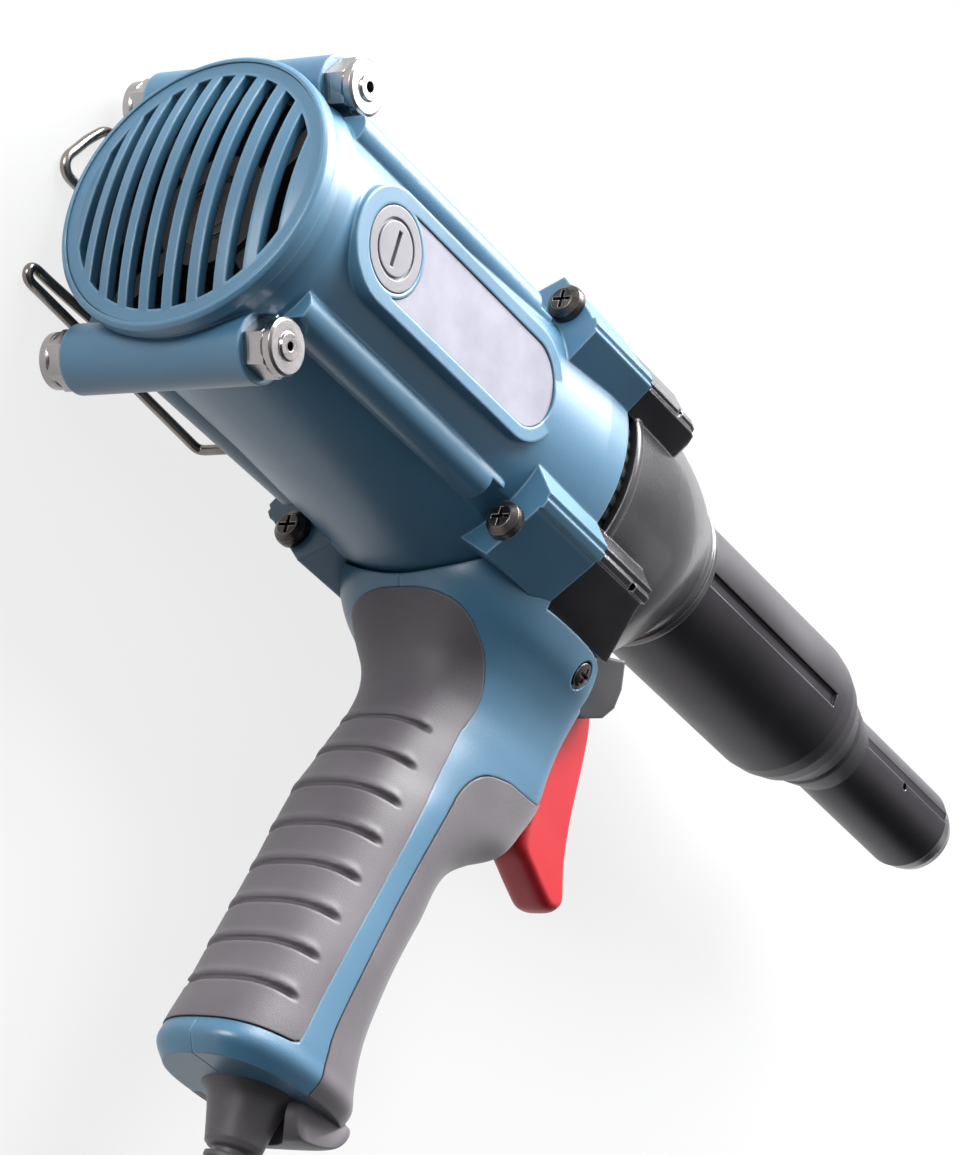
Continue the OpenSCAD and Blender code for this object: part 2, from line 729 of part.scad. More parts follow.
module lay_bushes() {
  color([0.75, 0.6, 0.3]) union() {
    ring_x(case_x + 1.1, plate_front_x, lay_bush_r, lay_shaft_r + fit_gap, -centre_1);
    ring_x(case_wall_x, case_wall_x + 5.9, lay_bush_r, lay_shaft_r + fit_gap, -centre_1);
  }
}

module spindle_nut() {
  color([0.6, 0.6, 0.62]) difference() {
    union() {
      translate([spindle_x, nose_y, 0]) rotate([180, 0, 0]) spur(spindle_teeth, module_2, spindle_gear_len);
      rod_x(spindle_x + 1, nut_end_x, nut_hub_r, nose_y);
    }
    rod_x(spindle_x - 1, nut_end_x + 1, pull_r + fit_gap, nose_y);
  }
}

module thrust_bearing() {
  color(steel) ball_bearing(case_wall_x + 0.5, thrust_len - 0.6, thrust_r, nut_hub_r + fit_gap, nose_y);
}

module nut_bearing() {
  color(steel) ball_bearing(case_wall_x + thrust_len, radial_len - 0.1, radial_r, nut_hub_r + fit_gap, nose_y);
}

guide_x = nut_end_x + stroke + 6;
guide_len = 12;
key_w = 4;

module pull_screw() {
  color([0.55, 0.55, 0.57]) union() {
    rod_x(spindle_x + stroke + 3, guide_x + 1, pull_r, nose_y);
    rod_x(guide_x, guide_x + guide_len, sleeve_bore_r - run_gap, nose_y);
    rod_x(guide_x + guide_len - 1, jaw_case_x - fit_gap, rod_r, nose_y);
    rod_x(jaw_case_x - 1, jaw_case_x + spigot_len, spigot_r, nose_y);
    translate([guide_x, nose_y + pull_r, -key_w / 2])
      cube([guide_len, sleeve_bore_r - pull_r + 1.8, key_w]);
  }
}

module nose_sleeve() {
  end = sleeve_end_x;
  spigot = sleeve_bore_r + 2.8 - fit_gap;
  color(nose_black) difference() {
    turned([
      [sleeve_x - 13, 0], [sleeve_x - 13, spigot], [sleeve_x + 0.1, spigot], [sleeve_x + 0.1, sleeve_r],
      [end - 17, sleeve_r], [end - 12, sleeve_r - 0.7], [end - 7, sleeve_r - 2.2],
      [end - 3, sleeve_r - 4.1], [end, sleeve_r - 5.4], [end, 0]], nose_y);
    rod_x(sleeve_x - 14, end - 26, sleeve_bore_r, nose_y);
    rod_x(end - 27, end + 1, nose_bore_r + 2.4, nose_y);
    translate([sleeve_x - 14, nose_y, -key_w / 2 - run_gap])
      cube([end - 26 - sleeve_x + 14, sleeve_bore_r + 2.1, key_w + 2 * run_gap]);
    translate([sleeve_x + 1, nose_y + flat_y, sleeve_r - 1]) cube([sleeve_len - 22, flat_w, 4]);
  }
}

flat_y = -3.6;
flat_w = 3.6;

module nose_tube() {
  collar_r = sleeve_r - 5.6;
  color(nose_black) difference() {
    turned([
      [sleeve_end_x - 14, 0], [sleeve_end_x - 14, nose_bore_r + 2.35], [sleeve_end_x + 0.1, nose_bore_r + 2.35],
      [sleeve_end_x + 0.1, collar_r], [sleeve_end_x + 2, collar_r], [sleeve_end_x + 10.5, nose_r],
      [nose_end_x - 1, nose_r], [nose_end_x, nose_r - 0.6], [nose_end_x, 0]], nose_y);
    rod_x(sleeve_end_x - 15, nose_end_x + 1, nose_bore_r, nose_y);
    translate([sleeve_end_x + 11, nose_y + 1, nose_r - 0.6]) cube([nose_len - 12, 2.4, 4]);
    rod_z(sleeve_end_x + 33, nose_y, 0, nose_r + 1, 1);
  }
}

module nose_cap() {
  color(steel) difference() {
    turned([
      [nose_end_x - 6, 0], [nose_end_x - 6, nose_bore_r - fit_gap], [nose_end_x + 0.1, nose_bore_r - fit_gap],
      [nose_end_x + 0.1, nose_r - 0.8], [nose_end_x + 3, nose_r - 1.1], [cap_end_x - 0.6, nose_r - 2.2],
      [cap_end_x, nose_r - 2.8], [cap_end_x, 0]], nose_y);
    rod_x(nose_end_x - 7, cap_end_x + 1, thread_r + fit_gap, nose_y);
    rod_x(hex_x - 0.1, cap_end_x + 1, hex_af / 2 / cos(30) + 0.3, nose_y);
  }
}

// Nosepiece along +X with its hexagon's back face at X = 0
module nosepiece(bore_radius) {
  difference() {
    union() {
      rod_x(-thread_len, 0.5, thread_r);
      rotate([0, 90, 0]) cylinder(h = hex_h, r = hex_af / 2 / cos(30), $fn = 6);
      turned([[hex_h - 0.5, 0], [hex_h - 0.5, face_r - 0.3], [hex_h + 0.3, face_r], [hex_h + face_h - 0.5, face_r],
        [hex_h + face_h, face_r - 0.6], [hex_h + face_h, face_r * 0.5], [hex_h + face_h + boss_h, face_r * 0.46],
        [hex_h + face_h + boss_h, 0]]);
    }
    rod_x(-thread_len - 1, hex_h + face_h + 2, bore_radius);
  }
}

module fitted_nosepiece() {
  color(steel) translate([hex_x, nose_y, 0]) nosepiece(fitted_bore_r);
}

module spare_pair(z, turn) {
  translate([cross_x, cross_y, z]) rotate([0, turn, 0]) nosepiece(spare_upper_bore_r);
  translate([cross_x, -cross_y, z]) rotate([0, turn, 0]) nosepiece(spare_lower_bore_r);
}

module spare_nosepieces_right() {
  color(steel) spare_pair(cross_right + 0.05, -90);
}

module spare_nosepieces_left() {
  color(steel) spare_pair(-cross_left - 0.05, 90);
}

module jaw_case() {
  case_end_r = cone_wide_r - cone_slope * (jaw_case_end_x - cone_x);
  color([0.4, 0.4, 0.42]) difference() {
    rod_x(jaw_case_x, jaw_case_end_x, jaw_case_r, nose_y);
    rod_x(jaw_case_x - 1, jaw_case_x + spigot_len + 1, spigot_r + fit_gap, nose_y);
    turned([[jaw_case_x + spigot_len + 0.3, 0], [jaw_case_x + spigot_len + 0.3, cone_wide_r], [cone_x, cone_wide_r],
      [jaw_case_end_x, case_end_r], [jaw_case_end_x + 1, case_end_r], [jaw_case_end_x + 1, 0]], nose_y);
  }
}

module jaw(k) {
  wide = cone_wide_r - cone_slope * (jaw_x - cone_x) - run_gap;
  narrow = wide - cone_slope * jaw_len;
  color([0.3, 0.3, 0.32]) translate([0, nose_y, 0]) rotate([120 * k, 0, 0]) intersection() {
    difference() {
      turned([[jaw_x, 0], [jaw_x, wide], [jaw_x + jaw_len, narrow], [jaw_x + jaw_len, 0]]);
      rod_x(jaw_x - 1, jaw_x + jaw_len + 1, 0.9);
    }
    rotate([-52, 0, 0]) sector_x(jaw_x - 1, jaw_x + jaw_len + 1, 10, 0.5, 104);
  }
}

module jaw_pusher() {
  front_r = cone_wide_r - cone_slope * (pusher_x + pusher_len - cone_x) - run_gap;
  color([0.5, 0.5, 0.52]) ring_x(pusher_x, pusher_x + pusher_len, front_r, mandrel_r, nose_y);
}

module jaw_spring() {
  turns = 4;
  x0 = jaw_case_x + spigot_len + 0.7;
  x1 = pusher_x - run_gap;
  steps = turns * 10;
  mid_r = cone_wide_r - 1.4;
  path = [for (i = [0 : steps]) let (a = 360 * turns * i / steps)
    [x0 + 0.5 + (x1 - x0 - 1) * i / steps, nose_y + mid_r * cos(a), mid_r * sin(a)]];
  color(steel) swept(path, [for (p = path) 0.5], 6);
}

// Handle
function power_of(c) = sign(c) * pow(abs(c), ring_power);

module handle_body(grow) {
  n = len(handle_rings);
  points = [for (h = handle_rings, k = [0 : ring_sides - 1])
    let (a = 360 * k / ring_sides, mid = (h[1] + h[2]) / 2)
    [mid + ((h[2] - h[1]) / 2 + grow) * power_of(cos(a)), h[0], (h[3] + grow) * power_of(sin(a))]];
  walls = [for (i = [0 : n - 2], k = [0 : ring_sides - 1])
    [(i + 1) * ring_sides + k, (i + 1) * ring_sides + (k + 1) % ring_sides,
     i * ring_sides + (k + 1) % ring_sides, i * ring_sides + k]];
  ends = [[for (k = [0 : ring_sides - 1]) k], [for (k = [ring_sides - 1 : -1 : 0]) (n - 1) * ring_sides + k]];
  polyhedron(points, concat(walls, ends), convexity = 6);
}

// Edges of the two rubber grips, seen from the side
module rear_region() {
  polygon([[60, -38], [100, -39.5], [106, -41], [109, -42.5], [112.1, -44.3], [116.9, -47.6], [121.3, -51.1],
    [124.6, -55.3], [126.2, -59.5], [126.2, -63.5], [124.6, -68], [122.4, -73.5], [112.6, -105.5], [102.9, -136.9],
    [97.2, -157], [95.8, -159.1], [93.6, -159.8], [60, -159.8]]);
}

module front_region() {
  polygon([[200, -56], [170, -66.5], [161.7, -70.7], [156, -72.3], [150.1, -73.1], [145, -73.4], [140.6, -74.3],
    [136.5, -75.5], [133.1, -77.4], [130.2, -80], [128, -83.1], [126.5, -86.2], [125.4, -89.8], [116.8, -115.9],
    [107.9, -149.1], [106.8, -158], [106.7, -164.6], [105.4, -base_y], [105.4, -base_y - 30], [200, -base_y - 30]]);
}

module through_z() {
  translate([0, 0, -60]) linear_extrude(120) children();
}

// Freely curved pieces stay one skin of small flat faces
module skin() {
  minkowski() union() children();
}

module grip_recess() {
  difference() {
    handle_body(5);
    handle_body(-rubber_t - seat_gap);
  }
}

module case_clearance() {
  case_dome(0.3);
  rod_x(housing_len, case_x + 2.8, tube_front_r + 0.8);
  translate([guard_x - 0.2, -46.2, -60]) cube([60, 80, 120]);
  four_corners() corner_boss(housing_len, case_x + ear_len + 0.5, bore_r + 1.5, 0.3);
}

module cable_way() {
  top = switch_y + 1;
  low = -base_y + 5;
  through = 9;
  translate([0, 0, -through]) linear_extrude(2 * through) polygon([
    [clamp_x - 9, low], [clamp_x + 9, low], [clamp_x + 9, low + 14], [clamp_x + 6, low + 15],
    [switch_x + 10, top], [switch_x + 1, top], [clamp_x - 6, low + 15], [clamp_x - 9, low + 14]]);
}

module handle_core() {
  difference() {
    handle_body(0);
    intersection() {
      through_z() offset(delta = seat_gap) rear_region();
      grip_recess();
    }
    intersection() {
      through_z() offset(delta = seat_gap) front_region();
      grip_recess();
    }
    rod_x(60, housing_len + 0.1, tube_front_r + seat_gap);
    four_corners() corner_boss(screw_seat_x - 0.2, housing_len + 0.1, bore_r + 1.5, 0.1);
    case_clearance();
    translate([trigger_x - 26, -93, -slot_half]) cube([30, 60, 2 * slot_half]);
    translate([switch_x - 0.3, switch_y - 0.3, -switch_half - 0.3])
      cube([switch_len + 0.6, switch_h + 0.6, 2 * switch_half + 0.6]);
    cable_way();
    translate([clamp_x, -base_y - 1, 0]) rotate([-90, 0, 0]) cylinder(h = 7, r = cord_r + 1.5);
  }
}

cover_screw_points = [[131, -46.5], [128, -112], [93, -150]];

module saddle_screw_holes() {
  for (s = [-1, 1]) translate([saddle_screw_x, 0, s * saddle_screw_z]) rotate([90, 0, 0]) {
    cylinder(h = 60, r = small_screw_r + seat_gap);
    translate([0, 0, 41]) cylinder(h = 20, r = small_head_r + 0.5);
  }
}

module handle_right() {
  color(housing_blue) difference() {
    skin() difference() {
      handle_core();
      translate([0, -300, -200]) cube([300, 400, 200]);
    }
    saddle_screw_holes();
    for (p = cover_screw_points) rod_z(p[0], p[1], -1, 9, small_screw_r + seat_gap);
  }
}

module handle_cover() {
  color(housing_blue) difference() {
    skin() difference() {
      handle_core();
      translate([0, -300, -seat_gap]) cube([300, 400, 200]);
    }
    saddle_screw_holes();
    for (p = cover_screw_points) {
      rod_z(p[0], p[1], -40, 1, small_screw_r + seat_gap);
      rod_z(p[0], p[1], -40, -grip_half + 6.5, small_head_r + 0.4);
    }
  }
}

module cover_screws() {
  color([0.25, 0.24, 0.25]) for (p = cover_screw_points) union() {
    rod_z(p[0], p[1], -grip_half + 6, 8, small_screw_r);
    translate([p[0], p[1], -grip_half + 4.1]) rotate([0, -90, 0]) pan_head(small_head_r, 2.4);
  }
}

module saddle_screws() {
  color([0.25, 0.24, 0.25]) for (s = [-1, 1]) translate([saddle_screw_x, 0, s * saddle_screw_z])
    rotate([90, 0, 0]) union() {
      translate([0, 0, 30]) cylinder(h = 11.2, r = small_screw_r);
      translate([0, 0, 43.5]) rotate([0, 90, 0]) pan_head(small_head_r, 2.4);
    }
}

module rear_grip() {
  color(rubber_grey) skin() difference() {
    intersection() {
      handle_body(0);
      through_z() rear_region();
    }
    translate([0, -0.1, 0]) handle_body(-rubber_t);
    for (k = [0 : groove_count - 1]) groove_band(k);
    rod_x(60, housing_len + 0.1, tube_front_r + run_gap);
    rod_z(cover_screw_points[2][0], cover_screw_points[2][1], -40, 0, small_head_r + 0.4);
  }
}

// Groove around the outside of the rear grip, square to the handle's lean
module groove_band(k) {
  depth = 1;
  half = 0.7;
  x = groove_x - groove_lean * k * groove_pitch;
  y = groove_y - k * groove_pitch;
  difference() {
    through_z() polygon([[x, y - half], [x, y + half], [x - 60, y + half + 13.5], [x - 60, y - half + 13.5]]);
    handle_body(-depth);
  }
}

groove_x = 116.6;
groove_y = -74;
groove_lean = 0.295;

module front_grip() {
  foot = [[112, -base_y - 0.1], [127, -base_y - 0.1], [130.3, -base_y + 3.5], [130, -base_y - 1.5],
    [126, -base_y - foot_drop + 5], [119, -base_y - foot_drop + 2.4], [112, -base_y - foot_drop + 1.2]];
  foot_half = grip_half - 5;
  color(rubber_grey) skin() difference() {
    union() {
      intersection() {
        handle_body(0.2);
        through_z() front_region();
        translate([60, -base_y - 0.1, -60]) cube([120, 200, 120]);
      }
      translate([0, 0, -foot_half]) linear_extrude(2 * foot_half) polygon(foot);
    }
    intersection() {
      handle_body(-rubber_t);
      translate([60, -base_y - 0.1, -60]) cube([120, 200, 120]);
    }
    translate([60, -46.2, -60]) cube([120, 100, 120]);
    translate([trigger_x - 26, -93, -slot_half]) cube([30, 60, 2 * slot_half]);
    translate([clamp_x, -base_y - 30, 0]) rotate([-90, 0, 0]) cylinder(h = 40, r = relief_r + 0.4);
    rod_z(cover_screw_points[1][0], cover_screw_points[1][1], -40, 0, small_head_r + 0.4);
  }
}

// Trigger and switch
guard_x = 160;
guard_half = 13;

module trigger_guard() {
  outline = [[guard_x, -30], [182, -22], [183.6, -29], [182.6, -34.5], [179, -39], [172, -42.6], [guard_x, -45]];
  color(case_grey) difference() {
    translate([0, 0, -guard_half]) linear_extrude(2 * guard_half) polygon(outline);
    case_dome(0.1);
    translate([trigger_x - 8, -60, -slot_half]) cube([30, 31, 2 * slot_half]);
    rod_z(trigger_x, trigger_y, -guard_half + 2, guard_half - 2, trigger_pin_r + fit_gap);
  }
}

module trigger_side() {
  polygon([[186.5, -36.5], [188.1, -45.7], [189.3, -61.3], [191.3, -72], [194.6, -79], [194.8, -82], [192.5, -84.6],
    [188.5, -85.3], [184.5, -83.8], [178, -80.6], [172.6, -77.6], [171.4, -70], [171.4, -54], [172, -44],
    [172.4, -36], [174, -32], [178, -30.2], [183, -31]]);
}

module trigger() {
  steps = [[0, trigger_half - 2.9], [1.1, trigger_half - 1.2], [3, trigger_half]];
  color([0.75, 0.08, 0.12]) difference() {
    intersection() {
      for (s = steps) translate([0, 0, -s[1]]) linear_extrude(2 * s[1]) intersection() {
        trigger_side();
        translate([-s[0], 0]) trigger_side();
      }
      translate([150, 0, 0]) rotate([90, 0, 90]) linear_extrude(60) polygon([
        [-20, -trigger_half], [-60, -trigger_half], [-90, 1.8 - trigger_half],
        [-90, trigger_half - 1.8], [-60, trigger_half], [-20, trigger_half]]);
    }
    rod_z(trigger_x, trigger_y, -20, 20, trigger_pin_r + fit_gap);
    translate([165, plunger_y - 7, -plunger_r - 1.6]) cube([15.3, 14, 2 * plunger_r + 3.2]);
    translate([170, plunger_y - 7, -plunger_r - 0.4]) cube([13.5, 14, 2 * plunger_r + 0.8]);
  }
}

module trigger_pin() {
  color(steel) rod_z(trigger_x, trigger_y, -guard_half + 2.2, guard_half - 2.2, trigger_pin_r);
}

switch_x = 128;
switch_y = -74;
switch_len = 28;
switch_h = 22;
switch_half = 9;
plunger_y = -64;
plunger_r = 3;

module switch_body() {
  color([0.1, 0.1, 0.1]) difference() {
    translate([switch_x, switch_y, -switch_half]) cube([switch_len, switch_h, 2 * switch_half]);
    rod_x(switch_x + switch_len - 12, switch_x + switch_len + 1, plunger_r + fit_gap, plunger_y);
  }
}

plunger_x0 = switch_x + switch_len - 4;
plunger_x1 = 182.9;

module switch_plunger() {
  color([0.85, 0.85, 0.8]) rod_x(plunger_x0, plunger_x1, plunger_r, plunger_y);
}

module trigger_spring() {
  turns = 6;
  x0 = switch_x + switch_len + 0.6;
  x1 = 179.6;
  steps = turns * 12;
  mid_r = plunger_r + 0.9;
  path = [for (i = [0 : steps]) let (a = 360 * turns * i / steps)
    [x0 + 0.4 + (x1 - x0 - 0.8) * i / steps, plunger_y + mid_r * cos(a), mid_r * sin(a)]];
  color(steel) swept(path, [for (p = path) 0.4], 8);
}

// Strain relief and cord
boot_rings = 30;

function boot_point(s) = let (bend = boot_bend_r * boot_bend_deg * PI / 180, a = min(s, bend) / boot_bend_r * 180 / PI,
  rest = max(0, s - bend))
  [clamp_x, -base_y - relief_len - boot_bend_r * sin(a) - rest * cos(a), -boot_bend_r * (1 - cos(a)) - rest * sin(a)];

module strain_relief() {
  total = boot_bend_r * boot_bend_deg * PI / 180 + boot_straight;
  path = [for (i = [0 : boot_rings]) boot_point(total * i / boot_rings)];
  color([0.16, 0.16, 0.17]) union() {
    translate([clamp_x, -base_y - 0.1, 0]) rotate([90, 0, 0])
      cylinder(h = relief_len + 0.4, r1 = relief_r, r2 = boot_r + 2.2);
    swept(path, [for (i = [0 : boot_rings]) i % 2 == 0 ? boot_r + 0.8 : boot_r - 0.2], 12);
  }
}

module cord_clamp() {
  color([0.1, 0.1, 0.1]) difference() {
    translate([clamp_x - 8.5, -base_y + 8, -8.5]) cube([17, 9, 17]);
    translate([clamp_x, -base_y, 0]) rotate([-90, 0, 0]) cylinder(h = 30, r = cord_r + 0.2);
  }
}

module hanging_hook() {
  color([0.3, 0.28, 0.27]) swept(hook_path, [for (p = hook_path) wire_r], 8);
}

// Smooth route through the cord's points, four steps between neighbours
function catmull(a, b, c, d, t) = 0.5 * ((2 * b) + (c - a) * t + (2 * a - 5 * b + 4 * c - d) * t * t
  + (3 * b - a - 3 * c + d) * t * t * t);
function smooth(route, steps) = let (n = len(route))
  concat([for (i = [0 : n - 2], s = [0 : steps - 1])
    catmull(route[max(i - 1, 0)], route[i], route[i + 1], route[min(i + 2, n - 1)], s / steps)], [route[n - 1]]);

module cord() {
  path = smooth(cord_route, 2);
  color([0.09, 0.09, 0.09]) {
    swept(path, [for (p = path) cord_r], 8);
    at_plug(-32) cylinder(h = 32, r = cord_r);
  }
}

module cord_coil() {
  color([0.09, 0.09, 0.09]) translate([coil_x, coil_y, rest_z]) difference() {
    cylinder(h = coil_h, r = coil_mid_r + coil_half_w);
    translate([0, 0, -1]) cylinder(h = coil_h + 2, r = coil_mid_r - coil_half_w);
    translate([coil_side - cord_r - 0.4, 0, -1]) cube([12, 32, cord_d + 1.2]);
    translate([coil_side - cord_r - 0.1, -32, cord_d - 0.2]) cube([12, 32, cord_d + 0.4]);
    translate([-3.2, -coil_mid_r - 12, -1]) cube([6.4, 24, 2.5]);
  }
}

module cord_tie() {
  color([0.1, 0.1, 0.1]) translate([coil_x - 3, coil_y - coil_mid_r, rest_z]) difference() {
    translate([0, -coil_half_w - 1.4, 0]) cube([6, 2 * coil_half_w + 2.8, coil_h + 1.4]);
    translate([-1, -coil_half_w - 0.1, 1.4]) cube([8, 2 * coil_half_w + 0.5, coil_h - 1.3]);
  }
}

// Plug on the bench beside the coil, its pins towards -Y
plug_r = 10.5;
plug_half_w = 16;
plug_len = 34;
plug_neck = 15;
plug_z = rest_z + 1.5 * cord_d;
plug_y = coil_y - 32;

module at_plug(back) {
  translate([coil_x + coil_side, plug_y - back, plug_z]) rotate([90, 0, 0]) children();
}

module plug_body() {
  color([0.09, 0.09, 0.09]) difference() {
    union() {
      at_plug(0) cylinder(h = plug_neck + 1, r1 = cord_r + 2, r2 = plug_r - 2);
      at_plug(plug_neck) linear_extrude(plug_len) stadium(-plug_half_w, plug_half_w, plug_r);
    }
    for (s = [-1, 1]) at_plug(plug_neck + plug_len - 8) translate([s * pin_gap, 0, 0])
      cylinder(h = 20, r = pin_r + fit_gap);
  }
}

pin_r = 2.4;
pin_gap = 9.5;

module plug_pins() {
  color(steel) for (s = [-1, 1]) at_plug(plug_neck + plug_len - 7.9) translate([s * pin_gap, 0, 0])
    cylinder(h = 27, r = pin_r);
}

place() motor_housing();
place() rear_grille();
place() label_plate();
place() brush_caps();
place() housing_screws();
place() air_ring();
place() bearing_bracket();
place() rear_bearing();
place() front_bearing();
place() stator_core();
place() field_coils();
place() rotor_shaft();
place() rotor_core();
place() rotor_windings();
place() commutator();
place() fan();
place() brush_holders();
place() carbon_brushes();
place() gear_plate();
place() gear_case();
place() lay_gear();
place() lay_bushes();
place() spindle_nut();
place() thrust_bearing();
place() nut_bearing();
place() pull_screw();
place() jaw_case();
place() jaw(0);  // jaw_1
place() jaw(1);  // jaw_2
place() jaw(2);  // jaw_3
place() jaw_pusher();
place() jaw_spring();
place() nose_sleeve();
place() nose_tube();
place() nose_cap();
place() fitted_nosepiece();
place() spare_nosepieces_right();
place() spare_nosepieces_left();
place() handle_right();
place() handle_cover();
place() cover_screws();
place() saddle_screws();
place() rear_grip();
place() front_grip();
place() trigger_guard();
place() trigger();
place() trigger_pin();
place() trigger_spring();
place() switch_body();
place() switch_plunger();
place() strain_relief();
place() cord_clamp();
place() hanging_hook();
place() cord();
place() cord_coil();
place() cord_tie();
place() plug_body();
place() plug_pins();
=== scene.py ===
"""Looks of the electric riveter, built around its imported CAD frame."""
import math

import bpy
import numpy as np
from mathutils import Matrix, Vector


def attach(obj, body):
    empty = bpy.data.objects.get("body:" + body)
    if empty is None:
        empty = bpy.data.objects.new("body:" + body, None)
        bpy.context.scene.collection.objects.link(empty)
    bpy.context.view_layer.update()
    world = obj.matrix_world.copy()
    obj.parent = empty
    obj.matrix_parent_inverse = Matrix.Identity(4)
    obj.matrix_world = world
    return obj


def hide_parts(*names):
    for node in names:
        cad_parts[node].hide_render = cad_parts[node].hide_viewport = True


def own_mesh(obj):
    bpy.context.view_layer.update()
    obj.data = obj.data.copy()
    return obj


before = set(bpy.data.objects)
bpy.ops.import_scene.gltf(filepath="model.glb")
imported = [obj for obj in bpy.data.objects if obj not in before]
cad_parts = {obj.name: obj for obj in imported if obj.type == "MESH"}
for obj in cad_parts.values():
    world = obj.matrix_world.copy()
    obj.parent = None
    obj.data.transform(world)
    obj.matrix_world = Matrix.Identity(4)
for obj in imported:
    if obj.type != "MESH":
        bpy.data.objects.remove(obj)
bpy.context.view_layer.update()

# Part sizes in millimetres, measured from the rear rim and the motor axis as in the part's source
MM = 0.001
TIP_X = 353.5
NOSE_Y = 11.2
BOSS_ANGLES = (28.0, 35.0, 54.0)
BOSS_R = 45.4
BENCH_Z = -BOSS_R * math.cos(math.radians(BOSS_ANGLES[0]))
# Gear case: stations along the barrel with the dome's radius and the height of its centre
CASE_KEYS = [131, 149, 162, 172, 182, 191, 198]
CASE_RADII = [38.4, 38, 36, 32.5, 27.6, 22.5, 21]
CASE_HEIGHTS = [0, 0, 1.5, 4, 7.5, 11.2, 11.2]
CASE_WALL_X = 158.0
LAY_DROP = 14.8
# Handle: underside, half width of the trigger's slot and thickness of the rubber
BASE_Y = 168.0
SLOT_HALF = 6.1
RUBBER = 2.6


def in_frame(points):
    """Millimetres from the rim and the motor axis, turned into the frame's metres."""
    return (np.asarray(points, float) - [TIP_X, NOSE_Y, 0.0]) * MM


# Camera, in the frame's metres
CAMERA_AT = (-1.048007, -0.495075, 0.654541)
CAMERA_RIGHT = Vector((0.51048, 0.25008, 0.82272)).normalized()
CAMERA_DOWN = Vector((0.47046, -0.88210, -0.02378)).normalized()
LENS_MM = 152.07


def make_camera():
    """Camera at the photograph's viewpoint: its axes follow the measured right and down directions."""
    data = bpy.data.cameras.new("bench_camera")
    camera = bpy.data.objects.new("bench_camera", data)
    bpy.context.scene.collection.objects.link(camera)
    back = CAMERA_RIGHT.cross(-CAMERA_DOWN).normalized()
    up = back.cross(CAMERA_RIGHT)
    turn = Matrix((CAMERA_RIGHT, up, back)).transposed().to_4x4()
    camera.matrix_world = Matrix.Translation(CAMERA_AT) @ turn
    data.sensor_width = 36.0
    data.lens = LENS_MM
    data.clip_start = 0.05
    data.clip_end = 20.0
    bpy.context.scene.camera = camera


make_camera()


# Mesh tools
def link(name, mesh):
    """New object in the scene for a mesh or a lamp."""
    piece = bpy.data.objects.new(name, mesh)
    bpy.context.scene.collection.objects.link(piece)
    return piece


def grid_faces(rows, cols, wrap):
    """Quads between neighbouring points of a grid, closed round each row when wrap is set."""
    across = cols if wrap else cols - 1
    i, j = np.meshgrid(np.arange(rows - 1), np.arange(across), indexing="ij")
    nxt = (j + 1) % cols
    quads = np.stack([i * cols + j, i * cols + nxt, (i + 1) * cols + nxt, (i + 1) * cols + j], -1)
    return [tuple(int(v) for v in q) for q in quads.reshape(-1, 4)]


def outward(mesh):
    """Turns every face of a closed mesh so that its enclosed volume is positive."""
    count = len(mesh.vertices)
    flat = np.empty(count * 3)
    mesh.vertices.foreach_get("co", flat)
    co = flat.reshape(-1, 3)
    mesh.calc_loop_triangles()
    tri = np.empty(len(mesh.loop_triangles) * 3, int)
    mesh.loop_triangles.foreach_get("vertices", tri)
    a, b, c = (co[tri.reshape(-1, 3)[:, k]] for k in range(3))
    if np.einsum("ij,ij->i", a, np.cross(b, c)).sum() < 0:
        mesh.flip_normals()


def solid_from_grid(name, points, smooth=True):
    """Closed body from a grid of rings in millimetres: the rings are joined and each end ring is filled."""
    points = np.asarray(points, float)
    rows, cols, _ = points.shape
    faces = grid_faces(rows, cols, True)
    faces.append(tuple(range(cols - 1, -1, -1)))
    faces.append(tuple(range((rows - 1) * cols, rows * cols)))
    mesh = bpy.data.meshes.new(name)
    mesh.from_pydata(in_frame(points.reshape(-1, 3)).tolist(), [], faces)
    mesh.validate()
    mesh.update()
    outward(mesh)
    if smooth:
        mesh.shade_smooth()
    return link(name, mesh)


def prism(name, outline, low, high):
    """Straight body over a closed outline, from low to high along Z, in millimetres."""
    outline = np.asarray(outline, float)
    ends = [np.hstack([outline, np.full((len(outline), 1), float(level))]) for level in (low, high)]
    return solid_from_grid(name, np.stack(ends), smooth=False)


def with_height(rings, z):
    """Flat rings of points, each given its own Z."""
    return np.concatenate([rings, np.broadcast_to(z[:, None, None], rings.shape[:2] + (1,))], -1)


def block(name, low, high):
    """Square-edged body between two corners, in millimetres."""
    (x0, y0, z0), (x1, y1, z1) = low, high
    return prism(name, [(x0, y0), (x1, y0), (x1, y1), (x0, y1)], z0, z1)


def smooth_outline(points, steps):
    """Closed Catmull-Rom curve through the points, with the same number of steps between neighbours."""
    p = np.asarray(points, float)
    t = np.arange(steps)[:, None, None] / steps
    a, b, c, d = (np.roll(p, k, axis=0)[None] for k in (1, 0, -1, -2))
    curve = 0.5 * (2 * b + (c - a) * t + (2 * a - 5 * b + 4 * c - d) * t**2 + (3 * b - a - 3 * c + d) * t**3)
    return curve.transpose(1, 0, 2).reshape(-1, p.shape[1])


def smooth_line(points, steps):
    """Open Catmull-Rom curve through the points, with the same number of steps between neighbours."""
    p = np.asarray(points, float)
    p = np.vstack([2 * p[0] - p[1], p, 2 * p[-1] - p[-2]])
    t = np.arange(steps)[:, None, None] / steps
    a, b, c, d = p[None, :-3], p[None, 1:-2], p[None, 2:-1], p[None, 3:]
    curve = 0.5 * (2 * b + (c - a) * t + (2 * a - 5 * b + 4 * c - d) * t**2 + (3 * b - a - 3 * c + d) * t**3)
    return np.vstack([curve.transpose(1, 0, 2).reshape(-1, p.shape[1]), p[-2]])


